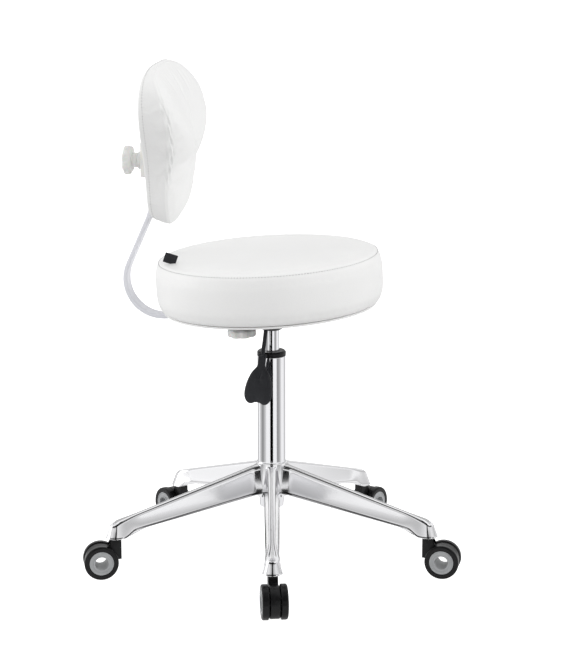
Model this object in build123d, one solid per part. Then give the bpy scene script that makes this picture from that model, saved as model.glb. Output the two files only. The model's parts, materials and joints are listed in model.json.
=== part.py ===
from build123d import *
import math
import os

# Pedicure stool. Millimetres. +Z is up, the origin is on the floor on the column's axis,
# and the sitter faces -Y, so the backrest stands on the +Y side.

# ---------------------------------------------------------------- driving dimensions
# Clearances
fit_gap = 0.05  # radial gap of a running fit
slide_gap = 0.3  # gap between a sliding flat part and its guide
end_gap = 0.4  # gap between the faces of parts that turn on each other

# Five-legged base
leg_count = 5
base_turn = 10.9  # angle from -X of the first leg
castor_circle_r = 285.3
hub_r = 27.0
hub_bottom = 120.0
hub_top = 183.4
leg_root_r = 12.0
leg_root_top = 183.0
leg_slope_top = 0.308
leg_slope_bottom = 0.194
leg_root_depth = 54.0
leg_top_width_root = 14.0
leg_top_width_tip = 11.0
leg_bottom_width_root = 25.0
leg_bottom_width_tip = 20.0
leg_lip = 1.5
leg_lip_height = 3.5
leg_wall = 4.0
leg_roof = 8.0
leg_drop_start_r = 250.0
socket_bottom = 70.5
socket_height = 28.0
socket_top_r = 9.5
socket_bottom_r = 16.5

# Castors
wheel_r = 30.0
wheel_width = 13.2
wheel_gap = 0.55
tyre_inner_r = 21.0
tyre_round = 2.4
sleeve_r = 13.0
sleeve_wall = 1.3
sleeve_lip = 1.2
sleeve_lip_width = 0.9
castor_body_width = 16.5
castor_disc_r = 28.3
castor_trail = 27.0
castor_back = 9.0
castor_housing_length = 18.0
stem_r = 5.5
stem_insertion = 26.0
stem_collar_r = 8.0
stem_in_body = 25.0
castor_body_top_gap = 0.5
# direction of each castor's trail, as an angle from +X
castor_trails = [196.4, 268.6, 333.9, 47.9, 109.0]

# Gas lift
tube_r = 25.0
tube_wall = 1.8
tube_top = 374.2
tube_bottom = 101.0
tube_end_r = 21.0
tube_floor = 6.0
bush_flange_r = 25.3
bush_flange_height = 9.2
bush_length = 78.0
lift_r = 14.0
lift_wall = 1.6
lift_bottom = 165.0
lift_seal = 13.0
lift_plug = 18.0
rod_r = 5.0
rod_collar_r = 9.0
rod_collar_height = 4.3
rod_spigot_r = 4.2
rod_spigot_length = 16.6
bearing_r = 14.0
bearing_height = 6.6
piston_height = 14.0
piston_bottom = 268.5
clip_r = 8.0
clip_height = 2.0
clip_gap = 0.6

# Seat
seat_tilt = 3.3  # lower at the back
seat_underside = 461.0  # on the column axis
seat_centre_y = 5.0
base_pan_thickness = 3.0
base_pan_r = 181.0
base_pan_hole_r = 46.0
board_r = 176.0
board_thickness = 12.0
seat_height = 98.0
seat_bulge_r = 201.0
seat_seam_r = 186.0
seat_seam_height = 91.5
leather = 2.0

# Seat plate
plate_half = 80.0
plate_thickness = 3.0
pan_half = 60.0
pan_depth = 20.0
bell_bottom = 421.0
bell_top = 429.5
bell_r = 22.0
bell_foot_r = 16.0
bell_rim = 3.0
socket_boss_r = 19.0
cone_start = 425.0
cone_top = 448.0
cone_top_r = 13.3
bolt_offset = 70.0
bolt_r = 3.0
bolt_head_r = 5.5
bolt_head_height = 4.0
bolt_grip = 17.0

# Release lever and valve pin
pivot_x = -28.0
pivot_z = 452.0
lever_y = 3.0
lever_rod_r = 3.5
lever_boss_r = 5.0
lever_boss_half = 6.0
trunnion_r = 2.5
trunnion_length = 4.0
ear_thickness = 3.5
arm_bottom = 453.5
arm_height = 3.6
arm_half = 5.0
pin_r = 3.0
pin_tip_r = 1.2
pin_top = 453.0
pin_bottom = 440.5
pin_hole_bottom = 436.0
# lever route below the seat plate
lever_route = [(-29.5, 4.0, 430.0), (-38.0, 5.0, 409.0), (-51.0, 7.0, 379.0)]
paddle_top = (-48.0, 6.5, 386.0)
paddle_bottom = (-64.0, 14.0, 301.0)
paddle_width = 49.0
paddle_thickness = 9.0
paddle_neck_width = 15.0

# Back bar
bar_width = 28.0
bar_thickness = 8.0
bar_drop = 11.9  # bar centre below the seat underside
bar_front = 34.0
bar_bend_r = 65.0
bar_lean = 23.8
bar_upright_y = 209.0
bar_knee_z = 627.6
bar_knee_r = 100.0
bar_top = 788.0
channel_wall = 2.5
channel_front = 25.0
channel_back = 76.0
boss_r = 15.5
boss_height = 6.5

# Clamp knobs
knob_r = 25.8
knob_thickness = 11.5
knob_lobes = 7
knob_lobe_r = 6.4
knob_hub_r = 13.0
knob_hub_length = 14.0
stud_r = 4.0
depth_knob_y = 55.0
height_knob_z = 712.0

# Backrest
pad_rear_y = 200.0
rear_cover_thickness = 3.0
back_board_thickness = 10.0
back_board_inset = 10.0
pad_top = 882.0
pad_bottom = 602.0
bracket_bottom = 684.8
bracket_top = 745.8
bracket_half = 20.0
bracket_flange_half = 30.0
bracket_flange = 4.7
bracket_rear_y = 227.0
screw_x = 25.0
screw_z = 20.0
screw_r = 2.4
screw_head_r = 4.2
screw_head_height = 2.4
screw_depth = 11.0

os.makedirs("parts", exist_ok=True)
nodes = {}


# ---------------------------------------------------------------- helpers
def turned(points):
    """A solid of revolution about Z from (radius, height) points."""
    outline = Polyline(*[(r, 0, z) for r, z in points], close=True)
    return revolve(make_face(outline), Axis.Z)


def tube(outer, inner, bottom, top):
    """A plain tube on the Z axis."""
    return turned([(inner, bottom), (outer, bottom), (outer, top), (inner, top)])


def drum(radius, bottom, top):
    """A plain cylinder on the Z axis."""
    return turned([(0, bottom), (radius, bottom), (radius, top), (0, top)])


def block(x0, x1, y0, y1, z0, z1):
    """A box between two corners."""
    centre = ((x0 + x1) / 2, (y0 + y1) / 2, (z0 + z1) / 2)
    return Pos(*centre) * Box(x1 - x0, y1 - y0, z1 - z0)


def rod_between(start, end, radius):
    """A round rod from one point to another."""
    line = Vector(*end) - Vector(*start)
    plane = Plane(origin=start, z_dir=line)
    return plane * Cylinder(radius, line.length, align=(Align.CENTER, Align.CENTER, Align.MIN))


def bent_rod(points, radius):
    """A round rod through several points, with a ball at each bend."""
    rod = rod_between(points[0], points[1], radius)
    for start, end in zip(points[1:], points[2:]):
        rod += Pos(*start) * Sphere(radius)
        rod += rod_between(start, end, radius)
    return rod


def side_extrusion(outline, half_width):
    """A profile drawn in the YZ plane, carried both ways along X."""
    return extrude(outline, amount=half_width, dir=(1, 0, 0), both=True)


def seat_place():
    """From the seat's own frame, with Z square to its underside, to the stool's frame."""
    return Pos(0, 0, seat_underside) * Rot(X=-seat_tilt)


# ---------------------------------------------------------------- base
def leg_section(r, top, bottom, top_width, bottom_width, lip):
    """One cross-section of a leg at radius r, narrow on top and lipped below."""
    half_top = top_width / 2
    half_bottom = bottom_width / 2
    corners = [
        (half_top, top),
        (half_bottom, bottom + leg_lip_height),
        (half_bottom + lip, bottom + leg_lip_height - lip),
        (half_bottom + lip, bottom),
    ]
    right = [(r, y, z) for y, z in corners]
    left = [(r, -y, z) for y, z in reversed(corners)]
    return make_face(Polyline(*right, *left, close=True))


def leg_top_at(r):
    """Height of a leg's top ridge at radius r."""
    return leg_root_top - leg_slope_top * (r - leg_root_r)


def leg_bottom_at(r):
    """Height of a leg's straight lower edge at radius r."""
    return leg_root_top - leg_root_depth - leg_slope_bottom * (r - leg_root_r)


def leg_solid():
    """One leg along +X: a straight lofted beam that drops to its castor socket."""
    drop_top = leg_top_at(leg_drop_start_r)
    drop_bottom = leg_bottom_at(leg_drop_start_r)
    root = leg_section(
        leg_root_r,
        leg_root_top,
        leg_root_top - leg_root_depth,
        leg_top_width_root,
        leg_bottom_width_root,
        leg_lip,
    )
    knee = leg_section(
        leg_drop_start_r, drop_top, drop_bottom, leg_top_width_tip, leg_bottom_width_tip, leg_lip
    )
    tip = leg_section(
        castor_circle_r,
        leg_top_at(castor_circle_r),
        socket_bottom,
        leg_top_width_tip,
        leg_bottom_width_tip,
        leg_lip,
    )
    return loft([root, knee], ruled=True) + loft([knee, tip], ruled=True)


def leg_hollow():
    """The open channel under a leg, from the hub to the castor socket."""
    inner_r = hub_r + leg_wall
    outer_r = leg_drop_start_r
    sections = []
    for r in (inner_r, outer_r):
        share = (r - leg_root_r) / (leg_drop_start_r - leg_root_r)
        top_width = leg_top_width_root + share * (leg_top_width_tip - leg_top_width_root)
        bottom_width = leg_bottom_width_root + share * (leg_bottom_width_tip - leg_bottom_width_root)
        half_top = top_width / 2 - leg_wall / 2
        half_bottom = bottom_width / 2 - leg_wall
        top = leg_top_at(r) - leg_roof
        bottom = leg_bottom_at(r) - leg_wall
        corners = [(half_top, top), (half_bottom, bottom), (-half_bottom, bottom), (-half_top, top)]
        sections.append(make_face(Polyline(*[(r, y, z) for y, z in corners], close=True)))
    return loft(sections, ruled=True)


def tube_outer_r(z):
    """The outer tube's radius at height z, tapered below the hub's top."""
    if z >= hub_top:
        return tube_r
    return tube_r - (tube_r - tube_end_r) * (hub_top - z) / (hub_top - tube_bottom)


leg_angles = [180 + base_turn + k * 360 / leg_count for k in range(leg_count)]

leg = leg_solid()
hollow = leg_hollow()
socket = Pos(castor_circle_r, 0, 0) * turned(
    [
        (0, socket_bottom),
        (socket_bottom_r, socket_bottom),
        (socket_top_r, socket_bottom + socket_height),
        (0, socket_bottom + socket_height),
    ]
)
stem_bore = Pos(castor_circle_r, 0, 0) * drum(stem_r, socket_bottom, socket_bottom + stem_insertion)
star = drum(hub_r, hub_bottom, hub_top)
for angle in leg_angles:
    star += Rot(Z=angle) * (leg + socket)
for angle in leg_angles:
    star -= Rot(Z=angle) * hollow
    star -= Rot(Z=angle) * stem_bore
star -= turned(
    [
        (0, hub_bottom - 10),
        (tube_outer_r(hub_bottom - 10), hub_bottom - 10),
        (tube_r, hub_top),
        (tube_r, hub_top + 5),
        (0, hub_top + 5),
    ]
)
nodes["star_base"] = star


# ---------------------------------------------------------------- castors
def castor_stem():
    """A plain stem with a thin collar that carries the socket's rim."""
    stem = drum(stem_r, socket_bottom - castor_body_top_gap - stem_in_body, socket_bottom + stem_insertion)
    collar = drum(stem_collar_r, socket_bottom - castor_body_top_gap + 0.1, socket_bottom)
    return stem + collar


def castor_body():
    """Stem housing and central disc, trailing along +X, with the axle along Y."""
    top = socket_bottom - castor_body_top_gap
    half = castor_body_width / 2
    front = castor_housing_length - castor_back
    housing = Polyline(
        (-castor_back, 0, top),
        (front, 0, top),
        (front, 0, wheel_r),
        (castor_trail - 22, 0, wheel_r - 17),
        (-castor_back, 0, wheel_r + 4),
        close=True,
    )
    body = extrude(make_face(housing), amount=half, dir=(0, 1, 0), both=True)
    axle = Pos(castor_trail, 0, wheel_r) * Rot(X=90)
    body += axle * Cylinder(castor_disc_r, castor_body_width)
    body -= axle * Cylinder(sleeve_r, castor_body_width + 2)
    body -= drum(stem_r + fit_gap, top - stem_in_body - 0.5, top + 1)
    return body


def castor_sleeve():
    """The hollow axle that both wheels turn on, with a retaining lip at each end."""
    reach = castor_body_width / 2 + wheel_gap + wheel_width + end_gap / 2
    end = reach + sleeve_lip_width
    bore = sleeve_r - sleeve_wall
    lip_r = sleeve_r + sleeve_lip
    profile = [
        (bore, -end),
        (lip_r, -end),
        (lip_r, -reach),
        (sleeve_r, -reach),
        (sleeve_r, reach),
        (lip_r, reach),
        (lip_r, end),
        (bore, end),
    ]
    return Pos(castor_trail, 0, wheel_r) * Rot(X=90) * turned(profile)


def wheel_ring(inner, outer, side, round_r):
    """One ring of a wheel on the given side (+1 or -1) of the castor body."""
    near = castor_body_width / 2 + wheel_gap
    far = near + wheel_width
    profile = [
        (inner, near),
        (outer - round_r, near),
        (outer, near + round_r),
        (outer, far - round_r),
        (outer - round_r, far),
        (inner, far),
    ]
    if round_r == 0:
        profile = [(inner, near), (outer, near), (outer, far), (inner, far)]
    turn = -90 * side
    return Pos(castor_trail, 0, wheel_r) * Rot(X=turn) * turned(profile)


stems = []
for number, (angle, trail) in enumerate(zip(leg_angles, castor_trails), start=1):
    spot = Rot(Z=angle) * Pos(castor_circle_r, 0, 0) * Rot(Z=trail - angle)
    stems.append(spot * castor_stem())
    nodes[f"castor_{number}_body"] = spot * castor_body()
    nodes[f"castor_{number}_sleeve"] = spot * castor_sleeve()
    for side, word in ((1, "left"), (-1, "right")):
        nodes[f"castor_{number}_rim_{word}"] = spot * wheel_ring(
            sleeve_r + fit_gap, tyre_inner_r, side, 0
        )
        nodes[f"castor_{number}_tyre_{word}"] = spot * wheel_ring(
            tyre_inner_r, wheel_r, side, tyre_round
        )
nodes["castor_stems"] = Compound(stems)

# ---------------------------------------------------------------- gas lift
floor_top = tube_bottom + tube_floor
tube_bore = tube_r - tube_wall
lower_bore = tube_end_r - tube_wall
nodes["outer_tube"] = turned(
    [
        (rod_spigot_r + end_gap, tube_bottom),
        (tube_end_r, tube_bottom),
        (tube_r, hub_top),
        (tube_r, tube_top),
        (tube_bore, tube_top),
        (tube_bore, hub_top + 6),
        (lower_bore, hub_top - 6),
        (lower_bore, floor_top),
        (rod_spigot_r + end_gap, floor_top),
    ]
)
nodes["guide_bush"] = turned(
    [
        (lift_r + fit_gap, tube_top - bush_length),
        (tube_bore, tube_top - bush_length),
        (tube_bore, tube_top),
        (bush_flange_r, tube_top),
        (bush_flange_r, tube_top + bush_flange_height - 2),
        (bush_flange_r - 2, tube_top + bush_flange_height),
        (lift_r + fit_gap, tube_top + bush_flange_height),
    ]
)
bearing_top = floor_top + bearing_height
nodes["thrust_bearing"] = tube(bearing_r, rod_spigot_r + end_gap, floor_top, bearing_top)

collar_bottom = bearing_top + 0.1
lift_bore = lift_r - lift_wall
nodes["piston_rod"] = turned(
    [
        (0, collar_bottom - rod_spigot_length),
        (rod_spigot_r, collar_bottom - rod_spigot_length),
        (rod_spigot_r, collar_bottom),
        (rod_collar_r, collar_bottom),
        (rod_collar_r, collar_bottom + rod_collar_height),
        (rod_r, collar_bottom + rod_collar_height),
        (rod_r, piston_bottom),
        (lift_bore - fit_gap, piston_bottom),
        (lift_bore - fit_gap, piston_bottom + piston_height),
        (0, piston_bottom + piston_height),
    ]
)
nodes["retaining_clip"] = tube(
    clip_r, rod_spigot_r, tube_bottom - clip_gap - clip_height, tube_bottom - clip_gap
)
nodes["gas_cylinder"] = turned(
    [
        (rod_r + fit_gap, lift_bottom),
        (lift_r, lift_bottom),
        (lift_r, cone_start),
        (cone_top_r, cone_top),
        (pin_r + fit_gap, cone_top),
        (pin_r + fit_gap, pin_hole_bottom),
        (0, pin_hole_bottom),
        (0, cone_top - lift_plug),
        (lift_bore, cone_top - lift_plug),
        (lift_bore, lift_bottom + lift_seal),
        (rod_r + fit_gap, lift_bottom + lift_seal),
    ]
)
nodes["valve_pin"] = turned(
    [
        (0, pin_bottom),
        (pin_r, pin_bottom),
        (pin_r, pin_top - (pin_r - pin_tip_r)),
        (pin_tip_r, pin_top),
        (0, pin_top),
    ]
)

# ---------------------------------------------------------------- seat plate and bar channel
place = seat_place()
channel_half = bar_width / 2 + slide_gap + channel_wall
channel_top = -bar_drop + bar_thickness / 2 + slide_gap + channel_wall
channel_bottom = -bar_drop - bar_thickness / 2 - slide_gap - channel_wall
channel_outer = block(
    -channel_half, channel_half, channel_front, channel_back, channel_bottom, channel_top
)
channel_inner = block(
    -bar_width / 2 - slide_gap,
    bar_width / 2 + slide_gap,
    channel_front - 1,
    channel_back + 1,
    channel_bottom + channel_wall,
    channel_top - channel_wall,
)
boss_bottom = channel_bottom - boss_height
channel_boss = Pos(0, depth_knob_y, 0) * drum(boss_r, boss_bottom, channel_bottom)
channel_outer += channel_boss
channel = channel_outer - channel_inner
channel -= Pos(0, depth_knob_y, 0) * drum(stud_r + fit_gap, boss_bottom - 1, channel_bottom + 4)
nodes["bar_channel"] = place * channel

plate = block(-plate_half, plate_half, -plate_half, plate_half, -plate_thickness, 0)
plate += block(-pan_half, pan_half, -pan_half, pan_half, -pan_depth, 0)
pan_inner = pan_half - plate_thickness
plate -= block(-pan_inner, pan_inner, -pan_inner, pan_inner, plate_thickness - pan_depth, 1)
bolt_spots = [
    (sx * bolt_offset, sy * bolt_offset) for sx in (-1, 1) for sy in (-1, 1)
]
for x, y in bolt_spots:
    plate -= Pos(x, y, 0) * drum(bolt_r, -plate_thickness - 1, 1)
plate -= channel_outer
plate = place * plate
plate += turned(
    [
        (0, bell_bottom),
        (bell_foot_r, bell_bottom),
        (bell_r, bell_top - bell_rim),
        (bell_r, bell_top),
        (0, bell_top),
    ]
)
plate += drum(socket_boss_r, bell_top, cone_top)
ear_outer = lever_boss_half + slide_gap + ear_thickness
for side in (-1, 1):
    near = lever_y + side * (lever_boss_half + slide_gap)
    far = lever_y + side * ear_outer
    ear_floor = seat_underside - pan_depth + 1
    ear = block(
        pivot_x - 6, pivot_x + 6, min(near, far), max(near, far), ear_floor, pivot_z + 5.5
    )
    plate += ear
lever_slot = block(
    pivot_x - 9.5,
    pivot_x + 6.5,
    lever_y - lever_boss_half - slide_gap,
    lever_y + lever_boss_half + slide_gap,
    bell_top + 1,
    cone_top + 10,
)
plate -= lever_slot
plate -= block(
    pivot_x,
    arm_half,
    lever_y - arm_half - 3 * slide_gap,
    lever_y + arm_half + 3 * slide_gap,
    cone_top,
    cone_top + 20,
)
plate -= turned(
    [
        (0, bell_bottom - 1),
        (lift_r, bell_bottom - 1),
        (lift_r, cone_start),
        (cone_top_r, cone_top),
        (cone_top_r, cone_top + 20),
        (0, cone_top + 20),
    ]
)
trunnion_axis = Pos(pivot_x, lever_y, pivot_z) * Rot(X=90)
plate -= trunnion_axis * Cylinder(trunnion_r + fit_gap, 2 * ear_outer + 2)
nodes["seat_plate"] = plate

# ---------------------------------------------------------------- seat cushion
centre = Pos(0, seat_centre_y, 0)
board_top = base_pan_thickness + board_thickness


def side_points(inset):
    """(radius, height) points up the seat's rounded side, from the pan to the top seam."""
    rise = seat_seam_height - base_pan_thickness
    spread = seat_bulge_r - base_pan_r
    back = seat_bulge_r - seat_seam_r
    shape = [
        (0, -spread),
        (0.14, -0.5 * spread),
        (0.36, -0.12 * spread),
        (0.6, 0),
        (0.82, -0.25 * back),
        (0.93, -0.6 * back),
        (1, -back),
    ]
    return [(seat_bulge_r + out - inset, base_pan_thickness + up * rise) for up, out in shape]


def crown_points(inset):
    """(radius, height) points over the seat's crowned top, from the seam to the centre."""
    crown = seat_height - seat_seam_height
    shape = [(1, 0), (0.8, 0.55), (0.54, 0.85), (0, 1)]
    points = [((seat_seam_r - leather) * r, seat_seam_height + h * crown - inset) for r, h in shape]
    return points[1:]


def side_curve(inset):
    """The side points as one smooth curve in the XZ plane."""
    return Spline(*[(r, 0, z) for r, z in side_points(inset)])


def crown_line(inset, start):
    """The crown's points as straight runs, starting at a given point."""
    points = [start] + crown_points(inset)
    return Polyline(*[(r, 0, z) for r, z in points])


seam_out = side_points(0)[-1]
seam_in = side_points(leather)[-1]
foot_out = side_points(0)[0]
foot_in = side_points(leather)[0]
band = make_face(
    side_curve(0)
    + Line((seam_out[0], 0, seam_out[1]), (seam_in[0], 0, seam_in[1]))
    + side_curve(leather)
    + Line((foot_in[0], 0, foot_in[1]), (foot_out[0], 0, foot_out[1]))
)
top_out = crown_points(0)[-1]
top_in = crown_points(leather)[-1]
lid = make_face(
    crown_line(0, seam_out)
    + Line((0, 0, top_out[1]), (0, 0, top_in[1]))
    + crown_line(leather, seam_in)
    + Line((seam_in[0], 0, seam_in[1]), (seam_out[0], 0, seam_out[1]))
)
foam = make_face(
    side_curve(leather)
    + crown_line(leather, seam_in)
    + Polyline(
        (0, 0, top_in[1]),
        (0, 0, board_top),
        (board_r, 0, board_top),
        (board_r, 0, base_pan_thickness),
        (foot_in[0], 0, base_pan_thickness),
    )
)
base_pan = centre * tube(base_pan_r, base_pan_hole_r, 0, base_pan_thickness)
board = centre * drum(board_r, base_pan_thickness, board_top)
bolts = []
shank_top = bolt_grip - plate_thickness
for x, y in bolt_spots:
    base_pan -= Pos(x, y, 0) * drum(bolt_r, -1, base_pan_thickness + 1)
    board -= Pos(x, y, 0) * drum(bolt_r, 0, shank_top)
    bolt = drum(bolt_r, -plate_thickness, shank_top)
    head = extrude(RegularPolygon(bolt_head_r, 6), amount=-bolt_head_height)
    bolt += Pos(0, 0, -plate_thickness) * head
    bolts.append(place * Pos(x, y, 0) * bolt)
nodes["seat_base_pan"] = place * base_pan
nodes["seat_board"] = place * board
nodes["seat_foam"] = place * centre * revolve(foam, Axis.Z)
nodes["seat_band"] = place * centre * revolve(band, Axis.Z)
nodes["seat_top"] = place * centre * revolve(lid, Axis.Z)
nodes["seat_bolts"] = Compound(bolts)

# ---------------------------------------------------------------- release lever
pivot = (pivot_x, lever_y, pivot_z)
lever = trunnion_axis * Cylinder(lever_boss_r, 2 * lever_boss_half)
lever += trunnion_axis * Cylinder(trunnion_r, 2 * (lever_boss_half + trunnion_length))
lever += block(
    pivot_x, arm_half - 1, lever_y - arm_half, lever_y + arm_half, arm_bottom, arm_bottom + arm_height
)
lever += bent_rod([pivot] + lever_route, lever_rod_r)


def paddle_solid():
    """A flat handle that widens from a neck to a two-lobed end."""
    start = Vector(*paddle_top)
    run = Vector(*paddle_bottom) - start
    length = run.length
    half = paddle_width / 2
    neck = paddle_neck_width / 2
    edge = Spline(
        (neck, 0), (neck, 0.2 * length), (0.55 * half, 0.42 * length), (0.95 * half, 0.72 * length),
        (half, 0.88 * length), (0.62 * half, length), (0, 0.95 * length),
    )
    outline = edge + mirror(edge, Plane.YZ) + Line((-neck, 0), (neck, 0))
    across = Vector(0, 1, 0) - run * (run.Y / length**2)
    plane = Plane(origin=start, x_dir=across, z_dir=across.cross(run))
    return plane * extrude(make_face(outline), amount=paddle_thickness / 2, both=True)


paddle = paddle_solid() - bent_rod([pivot] + lever_route, lever_rod_r)
nodes["lever_rod"] = lever
nodes["lever_paddle"] = paddle

# ---------------------------------------------------------------- back bar
tilt = math.radians(seat_tilt)
lean = math.radians(bar_lean)


def in_side_view(y, z):
    """A point of the seat's own frame, seen in the stool's YZ plane."""
    return (
        y * math.cos(tilt) + z * math.sin(tilt),
        seat_underside - y * math.sin(tilt) + z * math.cos(tilt),
    )


run_start = in_side_view(bar_front, -bar_drop)
run_slope = -math.tan(tilt)
lean_slope = -1 / math.tan(lean)
# The straight run under the seat meets the leaning run at this corner.
corner_y = (
    bar_knee_z - run_start[1] - lean_slope * bar_upright_y + run_slope * run_start[0]
) / (run_slope - lean_slope)
corner_z = run_start[1] + run_slope * (corner_y - run_start[0])
bar_path = FilletPolyline(
    (0, *run_start),
    (0, corner_y, corner_z),
    (0, bar_upright_y, bar_knee_z),
    (0, bar_upright_y, bar_top),
    radius=[bar_bend_r, bar_knee_r],
)
start_plane = Plane(
    origin=(0, *run_start), x_dir=(1, 0, 0), z_dir=(0, math.cos(tilt), -math.sin(tilt))
)
nodes["back_bar"] = sweep(start_plane * Rectangle(bar_width, bar_thickness), path=bar_path)

# ---------------------------------------------------------------- clamp knobs


def clamp_knob():
    """A lobed knob along +Z: its hub starts at 0 and its disc follows."""
    lobes = Circle(knob_r - 0.55 * knob_lobe_r)
    reach = knob_r - knob_lobe_r
    for k in range(knob_lobes):
        lobes += Rot(Z=k * 360 / knob_lobes) * Pos(reach, 0, 0) * Circle(knob_lobe_r)
    disc = Pos(0, 0, knob_hub_length) * extrude(lobes, amount=knob_thickness)
    knob = disc + drum(knob_hub_r, 0, knob_hub_length + 1)
    return knob - drum(stud_r, -1, knob_hub_length + knob_thickness / 2)


def clamp_stud(reach):
    """The stud in a knob, standing out below its hub by the given reach."""
    return drum(stud_r, -reach, knob_hub_length + knob_thickness / 2)


depth_spot = place * Pos(0, depth_knob_y, boss_bottom - end_gap) * Rot(X=180)
depth_reach = -bar_drop - bar_thickness / 2 - slide_gap - (boss_bottom - end_gap)
nodes["depth_knob"] = depth_spot * clamp_knob()
nodes["depth_stud"] = depth_spot * clamp_stud(depth_reach)

# ---------------------------------------------------------------- backrest
bracket_boss_y = bracket_rear_y + boss_height
bracket_mid = (bracket_bottom + bracket_top) / 2
bracket = block(
    -bracket_half, bracket_half, pad_rear_y, bracket_rear_y, bracket_bottom, bracket_top
)
bracket += block(
    -bracket_flange_half,
    bracket_flange_half,
    pad_rear_y,
    pad_rear_y + bracket_flange,
    bracket_bottom,
    bracket_top,
)
boss_axis = Pos(0, bracket_rear_y, height_knob_z) * Rot(X=-90)
bracket += boss_axis * drum(boss_r, 0, boss_height)
bracket -= block(
    -bar_width / 2 - slide_gap,
    bar_width / 2 + slide_gap,
    bar_upright_y - bar_thickness / 2 - slide_gap,
    bar_upright_y + bar_thickness / 2 + slide_gap,
    bracket_bottom - 1,
    bracket_top + 1,
)
bracket -= boss_axis * drum(stud_r + fit_gap, -20, boss_height + 1)
screw_spots = [
    (sx * screw_x, bracket_mid + sz * screw_z) for sx in (-1, 1) for sz in (-1, 1)
]
flange_y = pad_rear_y + bracket_flange


def screw_at(x, z, radius, start, length):
    """A round length along -Y from the bracket's flange, for a screw or its hole."""
    return Pos(x, start, z) * Rot(X=90) * drum(radius, 0, length)


screws = []
for x, z in screw_spots:
    bracket -= screw_at(x, z, screw_r, flange_y + 1, bracket_flange + 2)
    screw = screw_at(x, z, screw_r, flange_y, bracket_flange + screw_depth)
    screw += screw_at(x, z, screw_head_r, flange_y + screw_head_height, screw_head_height)
    screws.append(screw)
nodes["height_bracket"] = bracket
nodes["back_screws"] = Compound(screws)

pad_middle = (pad_top + pad_bottom) / 2


def pad_outline(inset):
    """The pad's outline seen from the front: broad above, waisted, narrow below."""
    widths = [
        (30, 604), (60, 617), (76, 645), (83, 670), (92, 700), (108, 735), (124, 770),
        (130, 805), (122, 840), (100, 866), (60, 879),
    ]
    across = 1 - inset / 130
    along = 1 - inset / 140
    points = [(0, pad_bottom)] + widths + [(0, pad_top)]
    side = [(x * across, 0, pad_middle + (z - pad_middle) * along) for x, z in points]
    right = Spline(*side, tangents=[(1, 0, 0), (-1, 0, 0)])
    return make_face(right + mirror(right, Plane.YZ))


def pad_profile(inset):
    """The pad's front seen from the side, deep above and thin below."""
    front = [
        (179, 884), (158, 866), (146, 840), (139.5, 800), (140, 760), (147, 725),
        (153, 700), (159, 680), (163, 655), (167, 630), (175, 610), (187, 600),
    ]
    curve = Spline(*[(0, y + inset, z) for y, z in front])
    end_y = pad_rear_y + 20
    close = Polyline(
        (0, 187 + inset, 600), (0, 187 + inset, 590), (0, end_y, 590), (0, end_y, 894),
        (0, 179 + inset, 894), (0, 179 + inset, 884),
    )
    return make_face(curve + close)


def pad_solid(inset, near_y, far_y):
    """The pad between two depths, with its outline and front drawn in by the inset."""
    slab = Pos(0, far_y, 0) * extrude(pad_outline(inset), amount=far_y - near_y, dir=(0, -1, 0))
    return slab & side_extrusion(pad_profile(inset), 200)


cover_rear_y = pad_rear_y - rear_cover_thickness
board_front_y = cover_rear_y - back_board_thickness
pad_front_y = 120.0
rear_cover = pad_solid(0, cover_rear_y, pad_rear_y)
back_board = pad_solid(back_board_inset, board_front_y, cover_rear_y)
back_foam = pad_solid(leather, pad_front_y, cover_rear_y) - back_board
for x, z in screw_spots:
    hole = screw_at(x, z, screw_r, flange_y, bracket_flange + screw_depth)
    rear_cover -= hole
    back_board -= hole
nodes["back_cover_rear"] = rear_cover
nodes["back_board"] = back_board
nodes["back_foam"] = back_foam
nodes["back_cover_front"] = pad_solid(0, pad_front_y, cover_rear_y) - pad_solid(
    leather, pad_front_y, cover_rear_y + 1
)

height_spot = Pos(0, bracket_boss_y + end_gap, height_knob_z) * Rot(X=-90)
height_reach = bracket_boss_y + end_gap - (bar_upright_y + bar_thickness / 2 + slide_gap)
nodes["height_knob"] = height_spot * clamp_knob()
nodes["height_stud"] = height_spot * clamp_stud(height_reach)

# ---------------------------------------------------------------- export
for name, shape in nodes.items():
    if not isinstance(shape, Compound) or len(shape.solids()) == 1:
        shape = shape.solids()[0]
    shape.label = name
    export_step(shape, os.path.join("parts", name + ".step"))
print(len(nodes), "nodes")
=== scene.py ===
import json
import math

import bmesh
import bpy
import numpy as np
from bpy.props import FloatProperty, FloatVectorProperty, IntProperty, PointerProperty
from mathutils import Matrix, Vector


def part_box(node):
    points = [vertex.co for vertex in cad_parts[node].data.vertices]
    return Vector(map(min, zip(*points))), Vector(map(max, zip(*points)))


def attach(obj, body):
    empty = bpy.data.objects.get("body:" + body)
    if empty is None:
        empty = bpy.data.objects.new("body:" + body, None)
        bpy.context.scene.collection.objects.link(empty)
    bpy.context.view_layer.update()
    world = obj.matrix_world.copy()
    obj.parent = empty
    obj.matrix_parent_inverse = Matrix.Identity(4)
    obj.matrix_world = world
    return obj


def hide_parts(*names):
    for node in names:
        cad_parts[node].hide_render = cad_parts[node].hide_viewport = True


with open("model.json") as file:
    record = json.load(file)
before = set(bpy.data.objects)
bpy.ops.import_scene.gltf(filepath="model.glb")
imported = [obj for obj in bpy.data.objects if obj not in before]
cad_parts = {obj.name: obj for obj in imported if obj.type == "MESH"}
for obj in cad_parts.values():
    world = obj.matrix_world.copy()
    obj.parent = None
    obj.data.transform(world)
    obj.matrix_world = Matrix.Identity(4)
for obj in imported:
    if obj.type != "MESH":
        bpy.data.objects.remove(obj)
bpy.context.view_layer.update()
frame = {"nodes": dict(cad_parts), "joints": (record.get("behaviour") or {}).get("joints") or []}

bl_info = {
    "name": "Pedicure Stool",
    "version": (1, 0, 0),
    "blender": (4, 5, 0),
    "location": "View3D > Sidebar > Stool",
    "description": "Builds the visible pieces of a pedicure stool around its packed frame",
    "category": "Object",
}

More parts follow.
